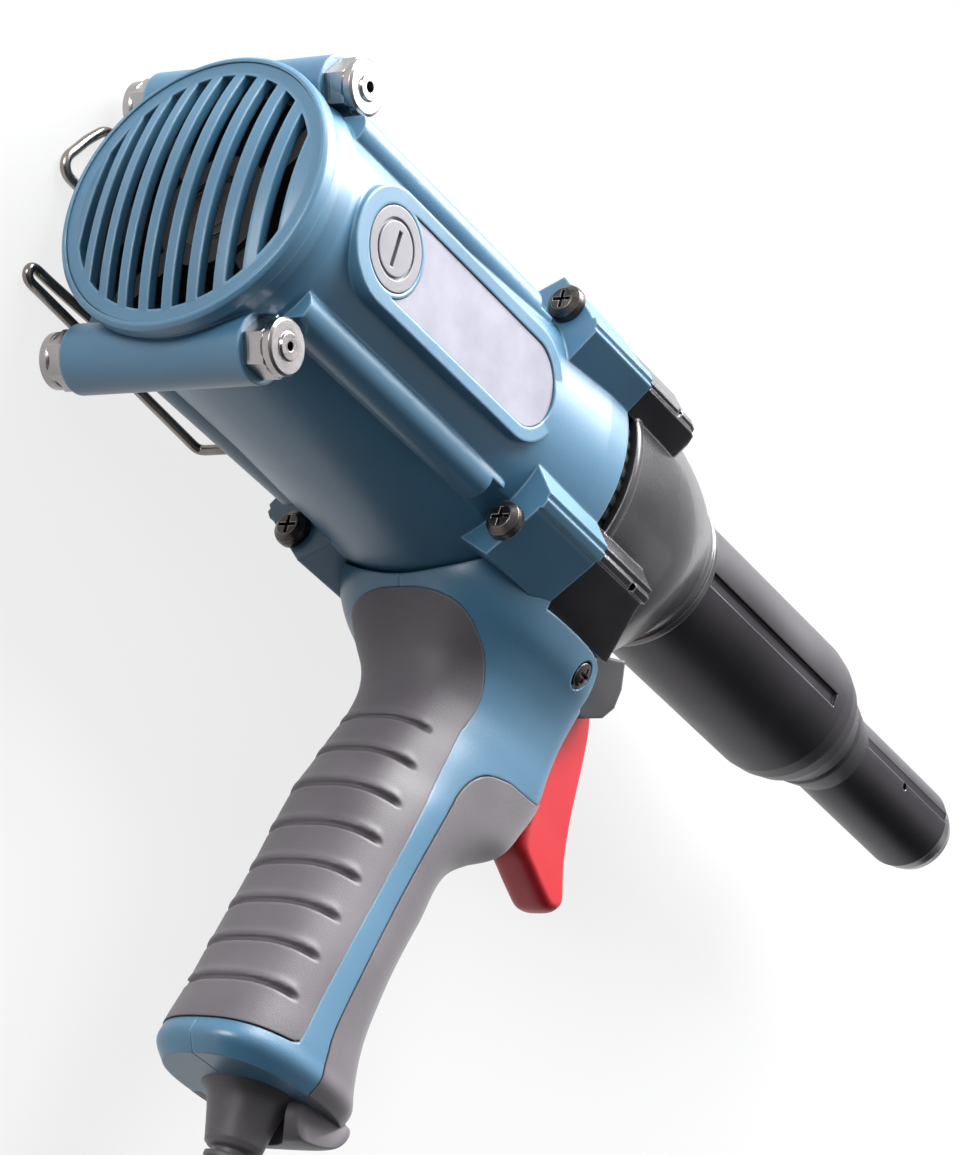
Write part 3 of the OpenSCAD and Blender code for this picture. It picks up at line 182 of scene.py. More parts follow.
def curve_through(keys, values, at):
    """Cubic through key points with slopes from their neighbours, read at new places."""
    keys = np.asarray(keys, float)
    values = np.asarray(values, float)
    slope = np.gradient(values, keys)
    i = np.clip(np.searchsorted(keys, at) - 1, 0, len(keys) - 2)
    h = keys[i + 1] - keys[i]
    t = (at - keys[i]) / h
    return (
        (2 * t**3 - 3 * t**2 + 1) * values[i]
        + (t**3 - 2 * t**2 + t) * h * slope[i]
        + (-2 * t**3 + 3 * t**2) * values[i + 1]
        + (t**3 - t**2) * h * slope[i + 1]
    )


def ease(t):
    """Smooth step: 0 up to 0, 1 from 1 on, and level at both ends."""
    t = np.clip(t, 0, 1)
    return t * t * (3 - 2 * t)


def bump_between(x, low, high, soft):
    """1 between low and high and 0 outside, easing over the soft width at each side."""
    return ease((x - low) / soft + 0.5) * ease((high - x) / soft + 0.5)


def carve(piece, cutter, operation="DIFFERENCE"):
    """Cuts the cutter from the piece, joins them or keeps what they share. The piece's mesh is the result."""
    change = piece.modifiers.new("cut", "BOOLEAN")
    change.object = cutter
    change.operation = operation
    change.solver = "EXACT"
    bpy.context.view_layer.update()
    shape = bpy.data.meshes.new_from_object(piece.evaluated_get(bpy.context.evaluated_depsgraph_get()))
    piece.modifiers.remove(change)
    piece.data = shape
    bpy.data.objects.remove(cutter)
    return piece


def crease(piece, degrees):
    """Smooth shading that breaks at edges sharper than the angle."""
    piece.data.shade_smooth()
    piece.data.set_sharp_from_angle(angle=math.radians(degrees))


def tube(name, path, radii, sides):
    """Round tube along a path: rings square to the path, carried without twist from one point to the next."""
    path = np.asarray(path, float)
    radii = np.broadcast_to(np.asarray(radii, float), (len(path),))
    along = np.gradient(path, axis=0)
    along /= np.linalg.norm(along, axis=1)[:, None]
    side = np.cross(along[0], [0.0, 0.0, 1.0] if abs(along[0][2]) < 0.9 else [1.0, 0.0, 0.0])
    angle = np.linspace(0, 2 * math.pi, sides, endpoint=False)
    rings = []
    for point, forward, radius in zip(path, along, radii):
        side = side - forward * side.dot(forward)
        side /= np.linalg.norm(side)
        other = np.cross(forward, side)
        rings.append(point + radius * (np.cos(angle)[:, None] * side + np.sin(angle)[:, None] * other))
    return solid_from_grid(name, np.array(rings))


# Cord, plug and boot
# The cord leaves the handle at CLAMP_X, bends in the boot and lies on the bench in a coil beside the tool
CLAMP_X = 106.0
RELIEF_LEN = 13.0
BOOT_R = 4.9
CONE_R = 9.9
SLEEVE_PITCH = 3.3
BOOT_BEND_R = 22.0
BOOT_BEND = math.radians(58)
BOOT_STRAIGHT = 12.0
CORD_D = 7.0
CORD_LOW_Z = BENCH_Z + CORD_D / 2
COIL_X, COIL_Y = 62.0, -300.0
COIL_MID_R = 39.0
COIL_TURNS = 7
TAIL_END_Y = COIL_Y - 32.0
# Plug: length, neck's length, half sizes of the neck and of the body, and rounding of the shoulder
PLUG_LEN = 49.0
NECK_LEN = 15.0
NECK_HALF = 5.0
PLUG_HALF_X, PLUG_HALF_Z = 16.0, 10.5
PLUG_EDGE = 1.8


def boot_line(s):
    """Centre line of the boot: a 58 degree bend towards the bench, then straight."""
    bend = BOOT_BEND_R * BOOT_BEND
    a = np.minimum(s, bend) / BOOT_BEND_R
    rest = np.maximum(s - bend, 0)
    y = -BASE_Y - RELIEF_LEN - BOOT_BEND_R * np.sin(a) - rest * np.cos(a)
    z = -BOOT_BEND_R * (1 - np.cos(a)) - rest * np.sin(a)
    return np.stack([np.full_like(s, CLAMP_X), y, z], -1)


BOOT_LEN = BOOT_BEND_R * BOOT_BEND + BOOT_STRAIGHT
BOOT_END = boot_line(np.array([BOOT_LEN]))[0]
FALL_R = (BOOT_END[2] - CORD_LOW_Z) / (1 - math.cos(BOOT_BEND))


def cord_route():
    """Line of the cord: down from the boot in an arc, along the bench, round the coil and out to the plug.

    In the coil the line climbs the inner column of turns and comes down the outer one. Its radius
    and height change in short smooth steps, each a little earlier than the step it makes room for.
    """
    fall = [(CLAMP_X, BOOT_END[1] - FALL_R * (math.sin(BOOT_BEND) - math.sin(a)),
             CORD_LOW_Z + FALL_R * (1 - math.cos(a))) for a in np.linspace(BOOT_BEND, 0, 5)]
    outer = COIL_MID_R + CORD_D / 2
    inner = COIL_MID_R - CORD_D / 2
    lead = fall + [(105.7, -250, CORD_LOW_Z), (105.2, -268, CORD_LOW_Z),
                   (COIL_X + outer, -284, CORD_LOW_Z), (COIL_X + outer, COIL_Y, CORD_LOW_Z)]
    lead = smooth_line(lead, 3)[:-1]
    turn = np.linspace(0, COIL_TURNS, COIL_TURNS * 36 + 1)
    step_at = np.array([0.93, 1.81, 2.81, 3.81, 4.69, 5.57, 6.45])
    reach = [outer, inner, inner, inner, inner, outer, outer, outer]
    row = [0, 0, 1, 2, 3, 3, 2, 1]
    r = np.full_like(turn, reach[0])
    z = np.zeros_like(turn)
    for k, at in enumerate(step_at):
        rise = ease((turn - at) / 0.11 + 0.5)
        r += rise * (reach[k + 1] - reach[k])
        z += rise * (row[k + 1] - row[k])
    angle = -2 * math.pi * turn
    coil = np.stack([COIL_X + r * np.cos(angle), COIL_Y + r * np.sin(angle), CORD_LOW_Z + CORD_D * z], -1)
    tail_y = np.linspace(COIL_Y, TAIL_END_Y, 6)[1:]
    tail = np.stack([np.full(5, COIL_X + outer), tail_y, np.full(5, CORD_LOW_Z + CORD_D)], -1)
    return np.vstack([lead, coil, tail])


def make_cord():
    """The cord as one open tube with a round section."""
    route = cord_route()
    return tube("mains_cord", route, CORD_D / 2, 14), in_frame(route)


cord_piece, cord_path = make_cord()
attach(cord_piece, "tool")
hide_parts("cord", "cord_coil")


def make_plug():
    """Moulded plug: rounded flat sections along -Y, from the neck's ribs to the square shoulder."""
    y0 = TAIL_END_Y
    x0 = COIL_X + COIL_MID_R + CORD_D / 2
    z0 = BENCH_Z + 1.5 * CORD_D
    s = np.concatenate([np.linspace(0, NECK_LEN, 46), np.linspace(NECK_LEN + 0.3, PLUG_LEN, 60)])
    neck = ease((s - 6) / 14)
    rib = 0.55 * bump_between(s, 0.5, 13.5, 1) * np.cos(2 * math.pi * s / 2.7)
    half_x = NECK_HALF + (PLUG_HALF_X - NECK_HALF) * neck + rib
    half_z = NECK_HALF + (PLUG_HALF_Z - NECK_HALF) * neck + rib
    grip = 1.3 * bump_between(s, 24, 40, 4) * (0.6 + 0.4 * np.cos(2 * math.pi * s / 4))
    edge = np.sqrt(np.clip(1 - np.clip((s - (PLUG_LEN - PLUG_EDGE)) / PLUG_EDGE, 0, 1) ** 2, 0, 1))
    half_x = (half_x - grip) - PLUG_EDGE * (1 - edge)
    half_z = half_z - PLUG_EDGE * (1 - edge)
    a = np.linspace(0, 2 * math.pi, 48, endpoint=False)
    p = 2 / (2 + 0.9 * neck[:, None])
    x = x0 + half_x[:, None] * np.sign(np.cos(a)) * np.abs(np.cos(a)) ** p
    z = z0 + half_z[:, None] * np.sign(np.sin(a)) * np.abs(np.sin(a)) ** p
    y = np.broadcast_to((y0 - s)[:, None], x.shape)
    piece = solid_from_grid("plug_moulding", np.stack([x, y, z], -1))
    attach(piece, "tool")
    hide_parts("plug_body")
    return piece


plug_piece = make_plug()


def make_boot():
    """Strain relief: a flared cone under the handle, then a bent sleeve of rings with slots between them."""
    cone = np.linspace(0, 1, 24)
    cone_y = -BASE_Y + 0.4 - (RELIEF_LEN + 0.2) * cone
    cone_r = CONE_R - 3.3 * cone**0.8 + 1.4 * np.exp(-((cone / 0.12) ** 2))
    cone_path = np.stack([np.full_like(cone, CLAMP_X), cone_y, np.zeros_like(cone)], -1)
    s = np.linspace(0.4, BOOT_LEN, 150)
    wave = 0.5 + 0.5 * np.cos(2 * math.pi * s / SLEEVE_PITCH)
    ring = ease((wave - 0.3) / 0.4)
    sleeve_r = (BOOT_R - 0.9) + 1.9 * ring - 0.6 * s / BOOT_LEN
    path = np.vstack([cone_path, boot_line(s)])
    radii = np.concatenate([cone_r, sleeve_r])
    piece = tube("strain_boot", path, radii, 40)
    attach(piece, "tool")
    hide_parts("strain_relief")
    return piece


boot_piece = make_boot()


# Handle and grips
# Sections of the handle: height, rear edge, front edge and half width
HANDLE_RINGS = [
    (-16, 104, 150, 35), (-21, 104, 154.5, 34.6), (-25, 104, 158.5, 33), (-29, 104.3, 162.3, 30.9),
    (-33, 104.6, 165.6, 29.2), (-38, 105.5, 168, 28), (-43, 108, 169, 26), (-48, 111, 169.4, 22.8),
    (-54, 113.8, 169.6, 19.8), (-61, 114.2, 169.8, 17.9), (-69, 112.2, 169.5, 17.5),
    (-78, 108.1, 165.5, 17.5), (-86, 104.8, 160, 17.5), (-92, 102.4, 150.5, 17.5),
    (-98, 101.1, 142.5, 17.5), (-116, 96.6, 134.7, 17.5), (-137, 90.2, 129, 17.5),
    (-150, 86, 127.8, 17.5), (-160, 82.2, 129.6, 17.9), (-164, 81, 131, 18), (-168, 83.5, 130, 16)]
# Edges of the two rubber grips in side view, and the far corners that close them behind and in front
REAR_EDGE = [
    (60, -38), (80, -38.7), (100, -39.5), (106, -41), (109, -42.5), (112.1, -44.3), (116.9, -47.6),
    (121.3, -51.1), (124.6, -55.3), (126.2, -59.5), (126.2, -63.5), (124.6, -68), (122.4, -73.5),
    (112.6, -105.5), (102.9, -136.9), (97.2, -157), (95.8, -159.1), (93.6, -159.8), (84, -159.8),
    (70, -159.8)]
FRONT_EDGE = [
    (200, -56), (185, -61.3), (170, -66.5), (161.7, -70.7), (156, -72.3), (150.1, -73.1), (145, -73.4),
    (140.6, -74.3), (136.5, -75.5), (133.1, -77.4), (130.2, -80), (128, -83.1), (126.5, -86.2),
    (125.4, -89.8), (116.8, -115.9), (107.9, -149.1), (106.8, -158), (106.7, -164.6), (106.5, -172)]
REAR_CORNERS = [(60, -159.8), (60, -38)]
FRONT_CORNERS = [(106.5, -175), (200, -175), (200, -56)]
# Grooves of the rear grip: the first one's front end, how far each next one stands back, spacing and slope
GROOVES = 8
GROOVE_X, GROOVE_Y = 116.6, -74.0
GROOVE_LEAN, GROOVE_PITCH, GROOVE_RISE = 0.295, 10.9, 0.225
COVER_SCREWS = [(131, -46.5), (128, -112), (93, -150)]
COVER_POCKET_R = 3.3
# Each half stops this far from the middle plane, which leaves the fine parting line
PARTING = 0.06
RING_POWER = 2.6
TOE_HALF = 12.6
# Stations where the handle makes room for the housing's end and for the gear case
HOUSING_ROOM_X = 127.2
CASE_ROOM_X = 127.1


def handle_loft(name, grow, low, high, step, sides, shape=None):
    """Rings of a rounded rectangle, a superellipse, whose edges follow smooth curves in height."""
    keys = np.array(HANDLE_RINGS[::-1], float)
    y = np.linspace(low, high, int(round((high - low) / step)) + 1)
    rear, front, half = (curve_through(keys[:, 0], keys[:, k], y)[:, None] for k in (1, 2, 3))
    a = np.linspace(0, 2 * math.pi, sides, endpoint=False)
    power = 2 / RING_POWER
    across = np.sign(np.cos(a)) * np.abs(np.cos(a)) ** power
    over = np.sign(np.sin(a)) * np.abs(np.sin(a)) ** power
    middle, reach = (rear + front) / 2, (front - rear) / 2
    height = np.broadcast_to(y[:, None], (len(y), sides))
    extra = grow
    if shape is not None:
        extra = grow + shape(middle + reach * across, height)
    grid = np.stack([middle + (reach + extra) * across, height, (half + extra) * over], -1)
    return solid_from_grid(name, grid)


def groove_depth(x, y):
    """How far the rear grip's skin stands in or out: eight leaning grooves with low pillows between them.

    Each groove is deepest at its front end and fades towards the rear.
    """
    lift = np.zeros_like(x)
    for k in range(GROOVES):
        front = GROOVE_X - GROOVE_LEAN * k * GROOVE_PITCH
        line = GROOVE_Y - k * GROOVE_PITCH + GROOVE_RISE * (front - x)
        across = (y - line) / 0.75
        back = np.clip((front - x) / 1.6, 0, 1)
        fade = 0.45 + 0.55 * np.exp(-np.clip(front - x, 0, None) / 12)
        lift -= 1.25 * np.exp(-(across**4)) * back * fade
        lip = (y - line - 1.9) / 1.1
        lift += 0.28 * np.exp(-(lip**2)) * back * fade
    return lift


def grip_cutter(name, edge, corners, grow):
    """Straight body across the handle over a grip's smooth edge, less the handle's core under the rubber.

    The edge line is moved out by grow along its own normals before its far corners close it.
    """
    line = smooth_line(edge, 5)
    ahead = np.gradient(line, axis=0)
    ahead /= np.linalg.norm(ahead, axis=1)[:, None]
    line = line + grow * np.stack([-ahead[:, 1], ahead[:, 0]], -1)
    body = prism(name, np.vstack([line, corners]), -45, 45)
    core = handle_loft(name + "_core", -RUBBER, -BASE_Y, -30, 1.6, 96)
    return carve(body, core)


def round_cut(piece, at, low, high, radius, axis):
    """Round hole from low to high along Y or Z."""
    ends = {"z": lambda v: (at[0], at[1], v), "y": lambda v: (at[0], v, at[1])}[axis]
    carve(piece, tube("hole", np.array([ends(v) for v in np.linspace(low, high, 3)]), radius, 32))


def rings_along(x, radius, centre, sides):
    """Rings of points along the barrel, each with its own station, radius and height of its centre."""
    a = np.linspace(0, 2 * math.pi, sides, endpoint=False)
    return np.stack([np.broadcast_to(x[:, None], (len(x), sides)),
                     centre[:, None] + radius[:, None] * np.cos(a), radius[:, None] * np.sin(a)], -1)


def barrel_room(radius):
    """Room over the handle for the end of the motor housing."""
    return tube("barrel_room", [(60, 0, 0), (93, 0, 0), (HOUSING_ROOM_X, 0, 0)], radius, 160)


def case_room():
    """Room for the gear case: its outside, a little wider all round."""
    x = np.linspace(CASE_KEYS[0], CASE_KEYS[-1], 90)
    radius = curve_through(CASE_KEYS, CASE_RADII, x) + 0.3
    rings = rings_along(x, radius, curve_through(CASE_KEYS, CASE_HEIGHTS, x), 128)
    rings[0, :, 0] = CASE_ROOM_X
    return solid_from_grid("case_room", rings)


def make_handle():
    """Two hollow handle halves with recesses for the rubber and room for the trigger, switch and cord."""
    body = handle_loft("handle_right_shell", 0.0, -BASE_Y, -16, 0.9, 176)
    carve(body, barrel_room(38.35))
    carve(body, case_room())
    for side in (-1, 1):
        z0, z1 = sorted((13.0 * side, 60.0 * side))
        carve(body, block("shoulder_room", (CASE_ROOM_X, -37, z0), (200, 0, z1)))
    carve(body, block("guard_room", (159.8, -46.2, -60), (220, 10, 60)))
    carve(body, grip_cutter("rear_recess", REAR_EDGE, REAR_CORNERS, 0.35))
    carve(body, grip_cutter("front_recess", FRONT_EDGE, FRONT_CORNERS, -0.35))
    carve(body, block("trigger_room", (152, -93, -SLOT_HALF), (182, -33, SLOT_HALF)))
    carve(body, block("switch_room", (127.7, -74.3, -9.3), (156.3, -51.7, 9.3)))
    way = [(97, -163), (115, -163), (115, -149), (112, -148), (138, -73), (129, -73), (100, -148), (97, -149)]
    carve(body, prism("cord_room", way, -9, 9))
    round_cut(body, (CLAMP_X, 0), -170, -161, 5.0, "y")
    other = body.copy()
    other.data = body.data.copy()
    other.name = "handle_left_shell"
    bpy.context.scene.collection.objects.link(other)
    carve(body, block("left_space", (60, -200, -60), (220, 40, PARTING)))
    carve(other, block("right_space", (60, -200, -PARTING), (220, 40, 60)))
    for x, y in COVER_SCREWS:
        round_cut(other, (x, y), -40, -11, COVER_POCKET_R, "z")
    for piece, node in ((body, "handle_right"), (other, "handle_cover")):
        crease(piece, 38)
        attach(piece, "tool")
        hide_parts(node)
    return body, other


def make_foot():
    """Rubber toe under the handle: a smooth side outline drawn in towards both flanks."""
    outline = smooth_outline([(110, -166), (120, -166), (127.5, -165.6), (130.4, -166.6), (129.8, -169.6),
                              (126.4, -172.8), (120, -175.2), (114, -176.4), (110, -176.2), (107, -171)], 5)
    middle = outline.mean(axis=0)
    z = TOE_HALF * np.sin(np.linspace(-math.pi / 2, math.pi / 2, 25))
    inset = 1 - 0.22 * (1 - np.sqrt(np.clip(1 - (z / (TOE_HALF + 0.1)) ** 4, 0, 1)))
    rings = middle + (outline - middle)[None] * inset[:, None, None]
    return solid_from_grid("toe", with_height(rings, z))


def make_grips():
    """Rubber sleeves let into the handle: the loft a little proud of it, kept inside each edge line."""
    rear = handle_loft("rear_rubber", 0.3, -160.4, -37, 0.42, 200, groove_depth)
    carve(rear, grip_cutter("rear_edge", REAR_EDGE, REAR_CORNERS, 0), "INTERSECT")
    carve(rear, barrel_room(38.6))
    round_cut(rear, COVER_SCREWS[2], -40, 0, COVER_POCKET_R, "z")
    front = handle_loft("front_rubber", 0.3, -167.9, -50, 0.9, 176)
    carve(front, grip_cutter("front_edge", FRONT_EDGE, FRONT_CORNERS, 0), "INTERSECT")
    carve(front, make_foot(), "UNION")
    carve(front, block("trigger_room", (150, -93, -SLOT_HALF), (182, -33, SLOT_HALF)))
    round_cut(front, (CLAMP_X, 0), -190, -166, 10.2, "y")
    round_cut(front, COVER_SCREWS[1], -40, 0, COVER_POCKET_R, "z")
    for piece, node in ((rear, "rear_grip"), (front, "front_grip")):
        crease(piece, 50)
        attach(piece, "tool")
        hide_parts(node)
    return rear, front


handle_right_piece, handle_left_piece = make_handle()
rear_rubber, front_rubber = make_grips()


# Trigger and hook
TRIGGER_HALF = 5.5
TRIGGER_PIN = (178, -35)
PIN_HOLE_R = 2.05
HOOK_Z = -38.6
HOOK_WIRE_R = 1.25


def make_trigger():
    """Trigger: a smooth side outline drawn in towards both cheeks, with room for the plunger and spring."""
    side = [(186.5, -36.5), (188.1, -45.7), (189.3, -61.3), (191.3, -72), (194.2, -79), (194.4, -82),
            (192.2, -84.6), (188.5, -85.3), (184.5, -83.8), (178, -80.6), (172.6, -77.2), (171.5, -70),
            (171.5, -54), (172, -44), (172.6, -36), (174, -32.4), (178, -30.2), (183, -31)]
    outline = smooth_outline(side, 6)
    ahead = np.roll(outline, -1, axis=0) - np.roll(outline, 1, axis=0)
    ahead /= np.linalg.norm(ahead, axis=1)[:, None]
    area = np.sum(outline[:, 0] * np.roll(outline[:, 1], -1) - outline[:, 1] * np.roll(outline[:, 0], -1))
    inward = -np.sign(area) * np.stack([ahead[:, 1], -ahead[:, 0]], -1)
    z = TRIGGER_HALF * np.sin(np.linspace(-math.pi / 2, math.pi / 2, 41))
    draw = 2.6 * (1 - np.clip(1 - np.abs(z / TRIGGER_HALF) ** 3.2, 0, 1) ** 0.55)
    rings = outline[None] + draw[:, None, None] * inward[None]
    piece = solid_from_grid("trigger_lever_moulding", with_height(rings, z))
    carve(piece, block("spring_room", (165, -71, -4.6), (180.3, -57, 4.6)))
    carve(piece, block("plunger_room", (170, -71, -3.4), (183.5, -57, 3.4)))
    round_cut(piece, TRIGGER_PIN, -20, 20, PIN_HOLE_R, "z")
    crease(piece, 40)
    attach(piece, "trigger_lever")
    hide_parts("trigger")
    return piece


def round_path(points, step, soft):
    """Even steps along a line, each then averaged with its neighbours so that its corners turn smoothly."""
    points = np.asarray(points, float)
    run = np.concatenate([[0], np.cumsum(np.linalg.norm(np.diff(points, axis=0), axis=1))])
    at = np.linspace(0, run[-1], int(run[-1] / step) + 1)
    even = np.stack([np.interp(at, run, points[:, k]) for k in range(3)], -1)
    wide = np.pad(even, ((soft, soft), (0, 0)), mode="edge")
    window = np.hanning(2 * soft + 3)[1:-1]
    window /= window.sum()
    smooth = np.stack([np.convolve(wide[:, k], window, "valid") for k in range(3)], -1)
    smooth[0], smooth[-1] = even[0], even[-1]
    return smooth


def arc(x, y, radius, first, last, count=14):
    """Points on a circle in the XY plane between two angles in degrees."""
    a = np.radians(np.linspace(first, last, count))
    return [(x + radius * math.cos(v), y + radius * math.sin(v)) for v in a]


def make_hook():
    """Bent wire of one thickness: in along the barrel, a small eye, a wide loop, and back in at the rim."""
    flat = [(66, -24), (40, -22.6), (16, -21.2), (4, -20.6)] + arc(0.6, -18.6, 1.9, 270, 90)
    flat += [(6, -16.9), (16, -16.9), (26, -16.8)] + arc(30, -4.6, 12.2, -75, 75, 30)
    flat += [(16, 7.4), (6, 7.4)] + arc(2.2, 10.6, 3.2, 250, 130)
    flat += [(3.4, 18.4), (7.4, 23.4), (10.4, 24.6), (18, 24.6)]
    path = [(70, -24.2, -24.6), (70, -24.2, -38.0), (69.4, -24.2, HOOK_Z)]
    path += [(x, y, HOOK_Z) for x, y in flat]
    path += [(20.4, 24.6, HOOK_Z), (21, 24.6, -38.0), (21, 24.6, -24.6)]
    piece = tube("hook_wire_bent", round_path(path, 0.5, 5), HOOK_WIRE_R, 20)
    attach(piece, "tool")
    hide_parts("hanging_hook")
    return piece


trigger_piece = make_trigger()
hook_piece = make_hook()


# Gear case, air gap, springs and saddle screws
# Bores of the gear case: first and last station, radius and height
CASE_BORES = [(126.0, 131.0, 37.9, 0.0), (130.0, CASE_WALL_X, 35.0, 0.0), (157.0, 167.5, 20.45, NOSE_Y),
              (157.0, 177.5, 19.45, NOSE_Y), (157.0, 199.0, 17.0, NOSE_Y)]
# Corner bosses: station, scale and share of the lean at each section, and how far each edge point leans
BOSS_SECTIONS = [(127.15, 0.976, 0), (127.5, 0.984, 0), (147.6, 0.984, 0.90), (149.4, 0.974, 0.96),
                 (151.2, 0.92, 1.0), (152.6, 0.82, 1.0)]
BOSS_LEAN = np.array([0, 0, 0, 0, 0, 0, 0, 8.0, 9.0])[:, None]
BOSS_FOOT_R = 33.5
DIMPLE_X, DIMPLE_TURN = 142.0, math.radians(31.5)
# Air gap: the ring's radius and the number of its notches
GAP_R = 36.6
NOTCHES = 60
# Saddle screws: the place on the right side that a head stands nearest to, and radii of head and recess
SADDLE_SPOT = (150.4, -42.4, 25.4)
SCREW_R = 3.1
RECESS_R = 3.75


def bore(piece, low, high, radius, y, sides=96):
    """Round room along the barrel, about the height y."""
    carve(piece, tube("bore", [(low, y, 0), ((low + high) / 2, y, 0), (high, y, 0)], radius, sides))


def turned(degrees):
    """Direction square to the barrel, this far round from the side towards the handle."""
    return np.array([-math.sin(math.radians(degrees)), math.cos(math.radians(degrees))])


def boss_edge():
    """Corner boss seen along the barrel: two low rails with a dip between them, then a sloped flank."""
    edge = [BOSS_R * turned(a) for a in BOSS_ANGLES]
    along = (edge[1] - edge[0]) / np.linalg.norm(edge[1] - edge[0])
    dip = -0.9 * np.array([-along[1], along[0]])
    return np.array([BOSS_FOOT_R * turned(18), edge[0], edge[0] + 1.5 * along, edge[0] + 1.9 * along + dip,
                     edge[1] - 1.9 * along + dip, edge[1] - 1.5 * along, edge[1], edge[2],
                     BOSS_FOOT_R * turned(64)])


def make_case():
    """Gear case: smooth dome with a rear flange, a rim line in front, four corner bosses and its bores.

    The bosses' outer flanks reach further forward than their rails.
    """
    flange_x = [131.0, 131.25, 131.6, 133.0, 133.35, 133.6]
    flange_r = [38.35, 38.6, 38.7, 38.7, 38.6, 38.35]
    x = np.concatenate([flange_x, np.linspace(133.8, 197.3, 120), [197.7, 198.0]])
    radius = curve_through(CASE_KEYS, CASE_RADII, x)
    radius[:len(flange_r)] = flange_r
    # A fine groove behind the front rim, and the rim's rounded end
    radius = radius - 0.55 * bump_between(x, 193.6, 194.8, 0.6)
    radius[-2:] -= [0.15, 0.5]
    centre = curve_through(CASE_KEYS, CASE_HEIGHTS, x)
    body = solid_from_grid("gear_case_shell", rings_along(x, radius, centre, 144))
    for up in (-1, 1):
        for side in (-1, 1):
            levels = [np.hstack([at + share * BOSS_LEAN, boss_edge() * [scale * up, scale * side]])
                      for at, scale, share in BOSS_SECTIONS]
            carve(body, solid_from_grid("corner", np.array(levels), smooth=False), "UNION")
            out = np.array([0, -up * math.sin(DIMPLE_TURN), side * math.cos(DIMPLE_TURN)])
            start = np.array([DIMPLE_X, 0, 0])
            carve(body, tube("dimple", [start + r * out for r in (41.4, 45.0, 49.4)], 1.1, 24))
    for low, high, room, y in CASE_BORES:
        bore(body, low, high, room, y)
    bore(body, 157.0, 164.0, 5.05, -LAY_DROP, 48)
    crease(body, 30)
    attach(body, "tool")
    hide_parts("gear_case")
    return body


def make_air_gap():
    """Ring in the air gap between housing and case, with fine shallow notches round its outside."""
    a = np.linspace(0, 2 * math.pi, 720, endpoint=False)
    radius = GAP_R - 0.35 * bump_between(np.mod(a * NOTCHES / (2 * math.pi), 1.0), 0.3, 0.7, 0.16)
    x = np.array([127.15, 127.35, 130.65, 130.85])
    soft = np.array([0.2, 0.0, 0.0, 0.2])[:, None]
    flat = (radius - soft) * np.cos(a), (radius - soft) * np.sin(a)
    piece = solid_from_grid("air_gap_ring", np.stack([np.broadcast_to(x[:, None], (4, 720)), *flat], -1))
    bore(piece, 126.0, 132.0, 32.6, 0.0, 128)
    crease(piece, 40)
    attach(piece, "tool")
    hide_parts("air_ring")
    return piece


def make_spring(name, node, ends, y, radius, wire, turns, body):
    """Round-wire helix between two stations on a rod."""
    t = np.linspace(0, 1, turns * 28)
    angle = 2 * math.pi * turns * t
    x = ends[0] + wire + (ends[1] - ends[0] - 2 * wire) * t
    piece = tube(name, np.stack([x, y + radius * np.cos(angle), radius * np.sin(angle)], -1), wire, 12)
    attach(piece, body)
    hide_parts(node)
    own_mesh(piece)
    return piece


def make_saddle_screw(shell, side):
    """Pan head sunk in a round recess in the saddle, square to its slope: a low dome with a cross cut in."""
    x, y, z = SADDLE_SPOT
    _, at, out, _ = shell.closest_point_on_mesh(Vector(in_frame([(x, y, z * side)])[0]))
    at = np.array(at) / MM + [TIP_X, NOSE_Y, 0]
    out = np.array(out.normalized())
    east = np.cross(out, [1.0, 0.0, 0.0])
    east /= np.linalg.norm(east)
    north = np.cross(out, east)
    carve(shell, tube("recess", [at - 1.7 * out, at, at + 6.0 * out], RECESS_R, 64))
    crease(shell, 38)
    r = np.concatenate([[0.03], np.linspace(0.1, 2.9, 44), [3.0, 3.08, SCREW_R, SCREW_R, 3.0, 1.5, 1.5]])
    a = np.linspace(0, 2 * math.pi, 128, endpoint=False)
    rr, aa = np.meshgrid(r, a, indexing="ij")
    u, v = rr * np.cos(aa), rr * np.sin(aa)
    cross = [bump_between(across, -0.45, 0.45, 0.2) * bump_between(along, -1.9, 1.9, 0.4)
             for across, along in ((u, v), (v, u))]
    height = 0.7 - 0.8 * (rr / SCREW_R) ** 2.2 - 1.2 * np.maximum(*cross)
    # The last rings are the head's side, its flat underside and the end of the shank
    height[-4:] = np.array([-1.2, -1.6, -1.65, -9.0])[:, None]
    grid = at + u[..., None] * east + v[..., None] * north + height[..., None] * out
    piece = solid_from_grid(f"saddle_screw_{side}", grid)
    crease(piece, 40)
    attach(piece, "tool")
    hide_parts("saddle_screws")
    return piece


case_piece = make_case()
gap_piece = make_air_gap()
trigger_coil = make_spring("trigger_return_coil", "trigger_spring", ends=(156.6, 179.6), y=-64.0, radius=3.9,
                           wire=0.4, turns=6, body="tool")
jaw_coil = make_spring("jaw_return_coil", "jaw_spring", ends=(307.27, 315.33), y=NOSE_Y, radius=4.6,
                       wire=0.5, turns=4, body="puller")
saddle_pair = [make_saddle_screw(handle_right_piece, 1), make_saddle_screw(handle_left_piece, -1)]


# Finishes
def linear(red, green, blue):
    """A colour given as it looks on a screen, 0 to 255, turned into the shader's linear values."""
    level = np.array([red, green, blue]) / 255.0
    out = np.where(level <= 0.04045, level / 12.92, ((level + 0.055) / 1.055) ** 2.4)
    return (*[float(v) for v in out], 1.0)


